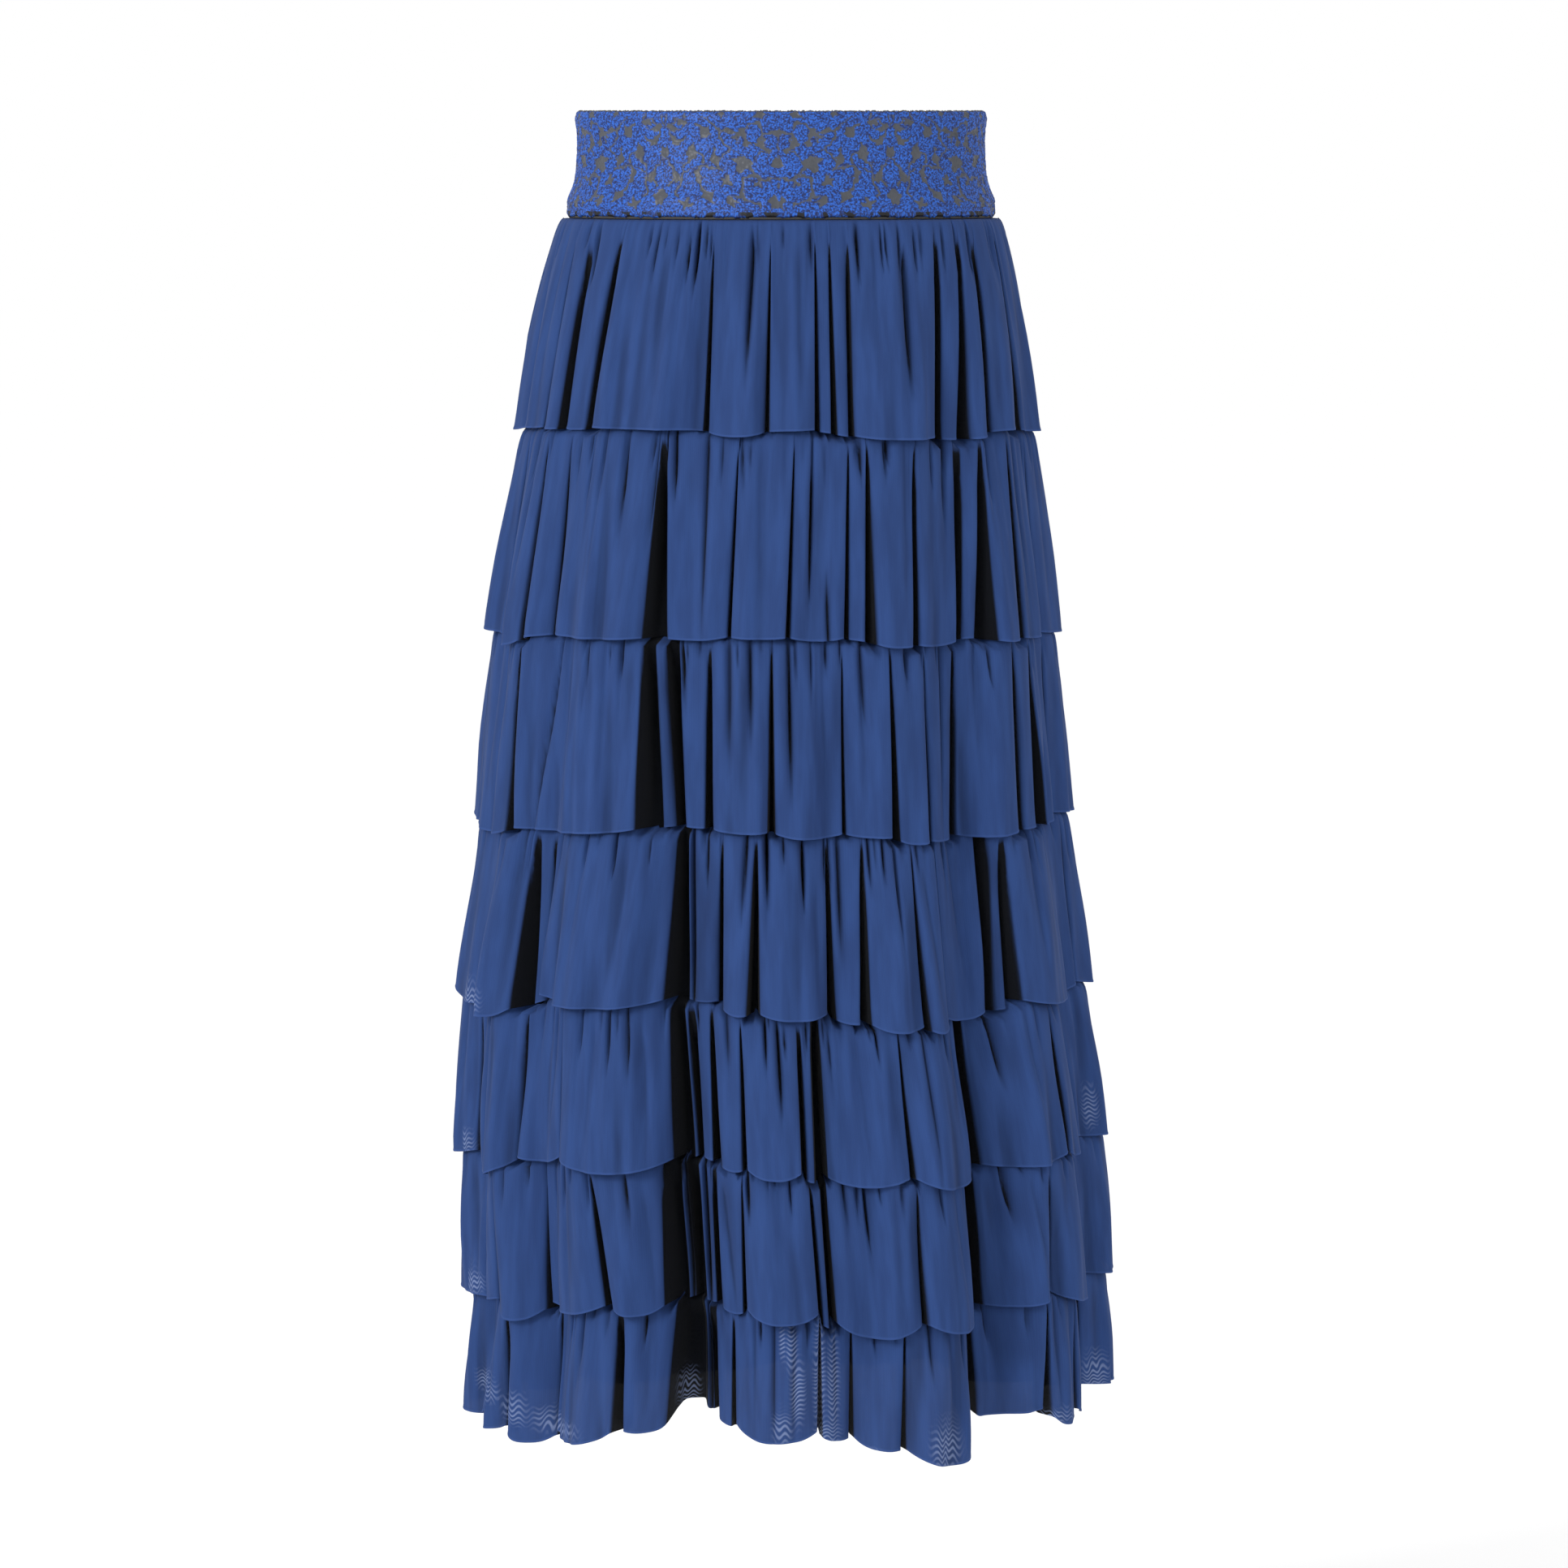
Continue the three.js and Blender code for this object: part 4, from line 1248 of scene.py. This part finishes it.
@dataclass(frozen=True)
class Brocade:
    """Woven damask brocade: raised loops of bright blue thread on a grey satin ground.

    Attributes:
        ground, ground_dark: the bare ground's two tones.
        thread, thread_dark: the thread's colours, lit as a painted highlight on its loops and in
            painted shade between them.
        edge: the dark line where the band is turned and stitched.
        dash: from row to row of thread, along a patch's edge.
        loop: size of a loop.
        fray: how far the thread's edge wanders.
        worn_low, worn_high: between these heights the lower edge's worn gaps end.
        rim_low, rim_high: between these heights the upper edge's dark line starts.
    """

    ground: str = "#4e5157"
    ground_dark: str = "#34373e"
    thread: str = "#245cba"
    thread_dark: str = "#162352"
    edge: str = "#121318"
    dash: float = 1.5
    loop: float = 1.3
    fray: float = 1.1
    worn_low: float = 2.4
    worn_high: float = 3.0
    rim_low: float = 68.1
    rim_high: float = 68.5

    def make(self) -> bpy.types.Material:
        """Builds the material: thread where the ground isn't bare, in rows that follow the
        patches' edges, broken into short loops by cells and specks, with a painted highlight
        on each loop and painted shade between the loops and rows.

        Returns:
            The material.
        """
        shader = Shader("brocade")
        place = shader.place()
        bare = shader.value_of("bare")
        fray = shader.math("SUBTRACT", shader.noise(place, 1100.0, 2.0), 0.5)
        edge = shader.math("ADD", bare, shader.math("MULTIPLY", fray, self.fray))
        thread = shader.ramp(edge, 0.25, -0.25)
        tone = self.loops(shader, place, bare)
        strand = shader.mix(tone, linear(self.thread_dark), linear(self.thread))
        cloth = shader.noise(place, 60.0, 2.0)
        ground = shader.mix(cloth, linear(self.ground_dark), linear(self.ground))
        colour = shader.mix(thread, ground, strand)
        colour = shader.mix(self.rim(shader, place, fray), colour, linear(self.edge))
        relief = shader.math("MULTIPLY", thread, shader.math("ADD", tone, 0.6))
        bump = shader.add("ShaderNodeBump", {0: 0.8, 1: 0.0005, 2: relief}).outputs[0]
        rough = shader.math("MULTIPLY_ADD", thread, 0.12)
        rough.node.inputs[2].default_value = 0.38
        body = shader.add("ShaderNodeBsdfPrincipled", {
            "Base Color": colour, "Roughness": rough, "Normal": bump,
            "Specular IOR Level": 0.3}).outputs[0]
        shader.add("ShaderNodeOutputMaterial", {0: body})
        return shader.material

    def loops(self, shader: Shader, place: object, bare: object) -> bpy.types.NodeSocket:
        """The thread's painted light and shade, with random specks: rows by the distance to bare
        ground, and cells that are lit in the middle and shaded at the rim.

        Args:
            shader: the material.
            place: the place on the cloth.
            bare: how far inside bare ground each point lies.

        Returns:
            The tone, from 0 to 1.
        """
        rows = shader.math("SINE", shader.math("MULTIPLY", bare, 2 * math.pi / self.dash))
        cells = shader.add("ShaderNodeTexVoronoi", {0: place, 2: 1.0 / (self.loop * MILLI)},
                           feature="F1").outputs[0]
        speck = shader.math("MULTIPLY", shader.noise(place, 700.0, 2.0), 1.3)
        # painted highlight and shade: light along each row and in each cell's middle, dark between rows
        # and at the cells' rims
        lit = shader.math("MULTIPLY", rows, 0.13)
        lit = shader.math("ADD", lit, shader.math("MULTIPLY", cells, -0.75))
        return shader.ramp(shader.math("ADD", lit, speck), -0.02, 0.6)

    def rim(self, shader: Shader, place: object, fray: object) -> bpy.types.NodeSocket:
        """The dark line along the upper edge and the worn gaps along the lower one.

        Args:
            shader: the material.
            place: the place on the cloth.
            fray: small uneven values round zero.

        Returns:
            How dark each point is, from 0 to 1.
        """
        height = shader.add("ShaderNodeSeparateXYZ", {0: place}).outputs[1]
        height = shader.math("ADD", height, shader.math("MULTIPLY", fray, 2.2 * MILLI))
        worn = shader.ramp(shader.noise(place, 130.0, 1.0), 0.5, 0.56)
        low = shader.ramp(height, self.worn_high * MILLI, self.worn_low * MILLI)
        high = shader.ramp(height, self.rim_low * MILLI, self.rim_high * MILLI)
        return shader.math("MAXIMUM", high, shader.math("MULTIPLY", worn, low))


class Stroke(NamedTuple):
    """A thin line of bare ground in the damask: where it starts, its heading in degrees, its
    turn in degrees a millimetre, its length and its half width."""

    x: float
    y: float
    heading: float
    turn: float
    length: float
    half: float


class Patch(NamedTuple):
    """A diamond of bare ground with hollow sides: its middle, half sizes and tilt."""

    x: float
    y: float
    half_width: float
    half_height: float
    tilt: float


@dataclass(frozen=True)
class Damask:
    """A dense traditional damask of palmettes and scrolls, mirrored in every repeat. It is
    all thread but for the patches and the lines that part its leaves.

    Attributes:
        repeat: width of one repeat.
        shift: how far round the centre front lies from a repeat's middle line.
        hollow: the power of a patch's outline; under 1 its sides bend inwards.
        patch_size: how large each patch is beside its listed half sizes.
        patch_rim: how fast a patch's inside deepens, as a share of its smaller half size.
        weight: how much broader a line is than its stroke.
        taper: how much narrower a line ends than it starts.
        line_step: between two points along a line.
        patches, strokes: the diamonds and the lines in half a repeat.
    """

    repeat: float = 189.0
    shift: float = 22.0
    hollow: float = 0.75
    patch_size: float = 0.82
    patch_rim: float = 0.7
    weight: float = 1.1
    taper: float = 0.45
    line_step: float = 0.6
    patches: tuple[Patch, ...] = (
        Patch(17, 54, 6, 4.5, 20), Patch(18, 36, 8, 7, -25), Patch(31, 46, 5, 4, 30),
        Patch(42, 35, 13, 8, 8), Patch(44, 55, 8, 5, -30), Patch(22, 10, 6, 8, 10),
        Patch(47, 9, 8, 5, -10), Patch(34, 21, 4, 5, 40), Patch(53, 23, 5, 7, 15),
        Patch(60, 39, 5, 9, -20), Patch(67, 56, 10, 6, 25), Patch(63, 14, 6, 7, -35),
        Patch(76, 41, 6, 10, 30), Patch(81, 62, 7, 4, -12), Patch(76, 9, 8, 5, 20),
        Patch(86, 27, 5, 7, -20), Patch(88, 50, 5, 6, 30), Patch(94.5, 13, 7, 8, 0),
        Patch(94.5, 40, 5, 8, 0), Patch(9, 64, 4, 3, 20), Patch(31, 65, 7, 3, -10),
        Patch(56, 67, 6, 3, 10), Patch(7, 25, 3, 5, 25), Patch(70, 27, 4, 4, 10),
    )
    strokes: tuple[Stroke, ...] = (
        Stroke(0, 3, 90, 0, 9, 0.85), Stroke(1.5, 3, 74, -0.6, 26, 0.85),
        Stroke(3, 3, 56, -0.9, 24, 0.85), Stroke(5, 2, 36, -0.8, 20, 0.85),
        Stroke(0, 30, 90, 0, 12, 0.85), Stroke(1.5, 32, 70, -1.2, 24, 0.94),
        Stroke(2, 44, 74, -1.6, 22, 0.85), Stroke(2, 50, 52, 0.6, 16, 0.85),
        Stroke(24, 43, 0, 9.5, 34, 1.1), Stroke(36, 46, 10, 8.2, 34, 1.02),
        Stroke(26, 25, -10, 7.0, 30, 1.02), Stroke(12, 16, 60, -3.5, 26, 0.94),
        Stroke(50, 44, 0, 9.5, 30, 1.02), Stroke(56, 28, 60, 6.0, 26, 0.94),
        Stroke(30, 4, 60, -3.0, 20, 0.85), Stroke(38, 12, 20, 8.5, 28, 1.02),
        Stroke(68, 34, 90, -9.0, 26, 1.02), Stroke(66, 18, 20, 7.5, 28, 0.94),
        Stroke(82, 14, 60, 5.0, 24, 0.94), Stroke(80, 50, -20, 8.0, 28, 1.02),
        Stroke(90, 20, 110, -3.0, 20, 0.85), Stroke(92, 58, 200, -6.0, 20, 0.85),
        Stroke(94.5, 52, 90, 0, 14, 0.85), Stroke(56, 52, 80, -4.0, 18, 0.94),
    )

    def lines(self) -> tuple[np.ndarray, np.ndarray]:
        """Follows every stroke by its heading, which turns evenly along it.

        Returns:
            Points along every line, and their half widths.
        """
        xy, half = [], []
        for stroke in self.strokes:
            s = np.arange(0.0, stroke.length, self.line_step)
            heading = np.radians(stroke.heading + stroke.turn * s)
            x = stroke.x + np.cumsum(np.cos(heading)) * self.line_step
            y = stroke.y + np.cumsum(np.sin(heading)) * self.line_step
            xy.append(np.stack([x, y], axis=-1))
            half.append(self.weight * stroke.half * (1.0 - self.taper * s / stroke.length))
        return np.concatenate(xy), np.concatenate(half)

    def bare_at(self, x: np.ndarray, y: np.ndarray) -> np.ndarray:
        """How far inside bare ground each point lies: the most that any patch or line says.

        Each point is folded into half a repeat first, and moved by curls of a large and a
        small wave. A patch is a diamond whose sides bend inwards, and a line is a row of
        discs.

        Args:
            x: millimetres round from the centre front.
            y: millimetres up from the band's lower edge.

        Returns:
            Millimetres, under zero on the thread.
        """
        half_repeat = self.repeat / 2.0
        folded = np.abs((x + self.shift + half_repeat) % self.repeat - half_repeat)
        curl_x = 1.3 * np.sin(y / 2.9 + 1.7 * np.sin(folded / 5.3))
        curl_x = curl_x + 0.7 * np.sin(folded / 1.1 + y / 1.5)
        curl_y = 1.3 * np.sin(folded / 3.1 + 1.5 * np.sin(y / 4.7))
        curl_y = curl_y + 0.7 * np.sin(folded / 1.4 - y / 1.0)
        folded = folded + curl_x * np.minimum(1.0, folded / 8.0)
        y = y + curl_y
        best = np.full(x.shape, -np.inf)
        for patch in self.patches:
            turn = math.radians(patch.tilt)
            right = (folded - patch.x) * math.cos(turn) + (y - patch.y) * math.sin(turn)
            up = (y - patch.y) * math.cos(turn) - (folded - patch.x) * math.sin(turn)
            reach = np.abs(right / (self.patch_size * patch.half_width)) ** self.hollow
            reach = reach + np.abs(up / (self.patch_size * patch.half_height)) ** self.hollow
            inside = (1.0 - reach ** (1.0 / self.hollow)) * self.patch_rim
            best = np.maximum(best, inside * min(patch.half_width, patch.half_height))
        xy, half = self.lines()
        at_once = 64
        for low in range(0, len(xy), at_once):
            part = slice(low, low + at_once)
            gap = np.hypot(folded[..., None] - xy[part, 0], y[..., None] - xy[part, 1])
            best = np.maximum(best, (half[part] - gap).max(axis=-1))
        return best


@dataclass(frozen=True)
class BandRow:
    """The waistband's outer face at one height."""

    z: float
    half_width: float
    half_depth: float


@dataclass(frozen=True)
class Waistband:
    """The brocade band, doubled over elastic, with a bound lower edge.

    Attributes:
        rows: its outer face, from the top down.
        around: the way round it.
        wall: its thickness, doubled over the elastic.
        column_step, row_step: between the columns and the rows of its grid.
        raised: how far the thread stands off the ground.
        fuzz: how uneven the thread's face is.
        overhang: how far loops of thread hang over the bound edge.
        clumps: how far apart the longer loops lie, by a wave and what bends it.
        half_height: half its height.
        roll: height of the soft roll above the lower edge, where it lies and its half width.
        face: where the plain rows of the outer face start and end.
        inner_rows, inner_half: how many rows the inner face has, and half their reach.
        top_rows, low_rows: height and offset of its rounded edges' rows, from the top down.
        edge_rows: height and offset of the bound edge's face, from the top down.
        edge_wall: the bound edge's thickness.
        edge_columns: how many columns its grid has.
        seed: picks the thread's unevenness.
    """

    rows: tuple[BandRow, ...] = (
        BandRow(34.5, 134.2, 94.2), BandRow(32.3, 135.3, 95.3), BandRow(29, 136.2, 96.2),
        BandRow(22, 135.2, 95.2), BandRow(14, 134.7, 94.7), BandRow(3, 135.0, 95.0),
        BandRow(-6, 135.6, 95.6), BandRow(-13, 136.8, 96.8), BandRow(-20, 139.0, 99.0),
        BandRow(-25, 140.8, 100.8), BandRow(-34.5, 141.8, 101.8))
    around: float = 758.0
    wall: float = 3.0
    column_step: float = 0.8
    row_step: float = 0.95
    raised: float = 0.5
    fuzz: float = 0.35
    overhang: float = 1.7
    clumps: tuple[float, float] = (2.9, 8.3)
    half_height: float = 34.5
    roll: tuple[float, float, float] = (0.7, -24.0, 5.0)
    face: tuple[float, float] = (33.4, -33.9)
    inner_rows: int = 5
    inner_half: float = 33.6
    top_rows: tuple[tuple[float, float], ...] = ((34.5, -1.0), (34.2, -0.3))
    low_rows: tuple[tuple[float, float], ...] = ((-34.4, -0.3), (-34.5, -1.2))
    edge_rows: tuple[tuple[float, float], ...] = (
        (-34.8, -1.5), (-35.0, -1.1), (-35.8, -0.9), (-36.6, -1.1), (-36.8, -1.5))
    edge_wall: float = 1.2
    edge_columns: int = 240
    seed: int = 11

    def half_sizes(self, z: np.ndarray) -> tuple[np.ndarray, np.ndarray]:
        """Half sizes at a height, with a soft roll above the lower edge: a bell added to
        what the listed rows give.

        Args:
            z: millimetres above the origin.

        Returns:
            Half width and half depth.
        """
        heights = [row.z for row in reversed(self.rows)]
        wide = np.interp(z, heights, [row.half_width for row in reversed(self.rows)])
        deep = np.interp(z, heights, [row.half_depth for row in reversed(self.rows)])
        high, middle, reach = self.roll
        roll = high * np.exp(-((z - middle) / reach) ** 2)
        return wide + roll, deep + roll

    def ring(self, z: np.ndarray, out: np.ndarray, count: int) -> tuple[np.ndarray, np.ndarray]:
        """A grid all round: an oval in every row.

        Args:
            z: each row's height.
            out: how far each row stands off the outer face.
            count: how many columns there are.

        Returns:
            The points, and their places on the cloth from the centre front.
        """
        angle = np.linspace(0.0, 2.0 * math.pi, count, endpoint=False)[None, :]
        wide, deep = (half[:, None] + out[:, None] for half in self.half_sizes(z))
        x = wide * np.sin(angle)
        y = -deep * np.cos(angle)
        points = np.stack([x, y, z[:, None] + 0.0 * x], axis=-1)
        edge = np.hypot(np.diff(x[0], append=x[0, :1]), np.diff(y[0], append=y[0, :1]))
        along = np.concatenate([[0.0], np.cumsum(edge)[:-1]])
        up = z[:, None] + self.half_height
        cloth = np.stack(np.broadcast_arrays(along[None, :], up), axis=-1)
        return points, cloth

    def build(self) -> bpy.types.Object:
        """Builds the band as one closed wall with its damask. Its rows run down the outer
        face and up the inner one, with a rounded upper and lower edge. The thread stands
        off the ground, and both edges' rows are moved up or down unevenly from column to
        column, as loops of thread.

        Returns:
            The band.
        """
        inside = self.inner_rows
        outer = np.arange(*self.face, -self.row_step)
        inner = np.linspace(-self.inner_half, self.inner_half, inside)
        top_z, top_out = zip(*self.top_rows)
        low_z, low_out = zip(*self.low_rows)
        z = np.concatenate([top_z, outer, low_z, inner])
        out = np.concatenate([top_out, 0.0 * outer, low_out, np.full(inside, -self.wall)])
        points, cloth = self.ring(z, out, int(self.around / self.column_step))
        bare = Damask().bare_at(cloth[..., 0], cloth[..., 1])
        chance = np.random.default_rng(self.seed)
        rough = self.fuzz * chance.uniform(-1.0, 1.0, bare.shape)
        thread = self.raised * smooth(-bare, -0.2, 0.4) + rough
        lift = np.where(out[:, None] > -0.2, thread, rough)
        lift[-inside:] = 0.0
        flat = points.copy()
        flat[..., 2] = 0.0
        points = points + flat * (lift / np.linalg.norm(flat, axis=-1))[..., None]
        points[:2, :, 2] += chance.uniform(-0.9, 0.0, points.shape[1])
        loops = chance.uniform(0.0, 1.0, points.shape[1])
        along = cloth[0, :, 0]
        wave, bend = self.clumps
        clumps = smooth(np.sin(along / wave + 2.0 * np.sin(along / bend)), -0.3, 0.4)
        lowest = slice(-inside - 3, -inside)
        points[lowest, :, 2] -= self.overhang * (0.3 + 0.7 * loops * clumps)
        band = grid_object("waistband_brocade", points, cloth, closed=True, joined=True)
        add_value(band, "bare", bare)
        return band

    def build_edge(self) -> bpy.types.Object:
        """Builds the bound edge, a narrow strip with a rounded face under the band.

        Returns:
            The bound edge.
        """
        z, out = np.array(self.edge_rows).T
        points, cloth = self.ring(z, out, self.edge_columns)
        edge = grid_object("waistband_bound_edge", points, cloth, closed=True)
        add_wall(edge, self.edge_wall)
        return edge


class Lamp(NamedTuple):
    """A soft square light: its place in metres, its side and its power in watts."""

    name: str
    place: tuple[float, float, float]
    size: float
    power: float


@dataclass(frozen=True)
class Studio:
    """A wide pale floor in a white room, soft light and a camera at the photograph's angle.

    Attributes:
        distance, camera_height: how far in front of the skirt the camera stands, and how
            high over the origin, in metres.
        target: the point that the camera looks at, in metres.
        lens: focal length in millimetres.
        floor, floor_reach: the floor's height and half its side, in metres.
        room_light: strength of the white light from all round.
        lamps: the soft lights.
    """

    distance: float = 6.0
    camera_height: float = 0.0445
    target: tuple[float, float, float] = (0.002, 0.0, -0.414)
    lens: float = 207.0
    floor: float = -1.06
    floor_reach: float = 40.0
    room_light: float = 1.0
    lamps: tuple[Lamp, ...] = (
        Lamp("key", (-3.4, -4.2, 1.6), 1.6, 155.0), Lamp("fill", (3.4, -4.2, 0.5), 2.4, 12.0))

    def build(self) -> None:
        """Builds the floor, the lights and the camera."""
        self.pale_floor()
        for lamp in self.lamps:
            self.light(lamp)
        world = bpy.data.worlds.new("studio")
        bpy.context.scene.world = world
        world.use_nodes = True
        room = world.node_tree.nodes["Background"]
        room.inputs[0].default_value = linear("#ffffff")
        room.inputs[1].default_value = self.room_light
        camera = bpy.data.cameras.new("camera")
        camera.lens = self.lens
        camera.clip_end = 100.0
        holder = bpy.data.objects.new("camera", camera)
        holder.location = (self.target[0], -self.distance, self.camera_height)
        drop = self.camera_height - self.target[2]
        holder.rotation_euler = (math.pi / 2.0 - math.atan2(drop, self.distance), 0.0, 0.0)
        bpy.context.scene.collection.objects.link(holder)
        bpy.context.scene.camera = holder
        view = bpy.context.scene.view_settings
        view.view_transform = "Standard"
        view.look = "None"

    def pale_floor(self) -> None:
        """A flat square floor, wide enough that its far edge lies at the horizon."""
        reach = np.array([-self.floor_reach, self.floor_reach]) / MILLI
        points = np.stack(np.broadcast_arrays(
            reach[None, :], reach[::-1, None], self.floor / MILLI), axis=-1)
        floor = grid_object("floor", points, points[..., :2])
        shader = Shader("pale_floor")
        body = shader.add("ShaderNodeBsdfPrincipled", {
            "Base Color": linear("#ffffff"), "Specular IOR Level": 0.0}).outputs[0]
        shader.add("ShaderNodeOutputMaterial", {0: body})
        floor.data.materials.append(shader.material)

    def light(self, lamp: Lamp) -> None:
        """Builds a soft light and turns it to face the middle of the skirt.

        Args:
            lamp: the light's place, size and power.
        """
        area = bpy.data.lights.new(lamp.name, "AREA")
        area.energy = lamp.power
        area.size = lamp.size
        holder = bpy.data.objects.new(lamp.name, area)
        holder.location = lamp.place
        away = np.array(lamp.place) - np.array(self.target)
        holder.rotation_euler = (
            math.acos(away[2] / float(np.linalg.norm(away))), 0.0,
            math.atan2(away[1], away[0]) + math.pi / 2.0)
        bpy.context.scene.collection.objects.link(holder)


def dress(piece: bpy.types.Object, node: str, material: bpy.types.Material) -> None:
    """Gives a piece its material, and lets it stand for its solid.

    Args:
        piece: the piece.
        node: the solid that it stands for.
        material: its finish.
    """
    piece.data.materials.append(material)
    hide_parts(node)
    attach(piece, "root")
    log.info("%s: %d faces", piece.name, len(piece.data.polygons))


def main() -> None:
    """Builds the whole scene, piece by piece from the waist down."""
    logging.basicConfig(level=logging.INFO, format="%(name)s: %(message)s")
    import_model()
    knit = KnitMesh().make()
    waistband = Waistband()
    band, edge = waistband.build(), waistband.build_edge()
    dress(band, "waistband", Brocade().make())
    dress(edge, "waistband_binding", Satin().make())
    for side in Side:
        panel = BASE.build(side)
        dress(panel, f"base_{side.name.lower()}", knit)
    for tier in tiers():
        for side in Side:
            panel = tier.build(side)
            dress(panel, f"{tier.name}_{side.name.lower()}", knit)
    Studio().build()


if __name__ == "__main__":
    main()
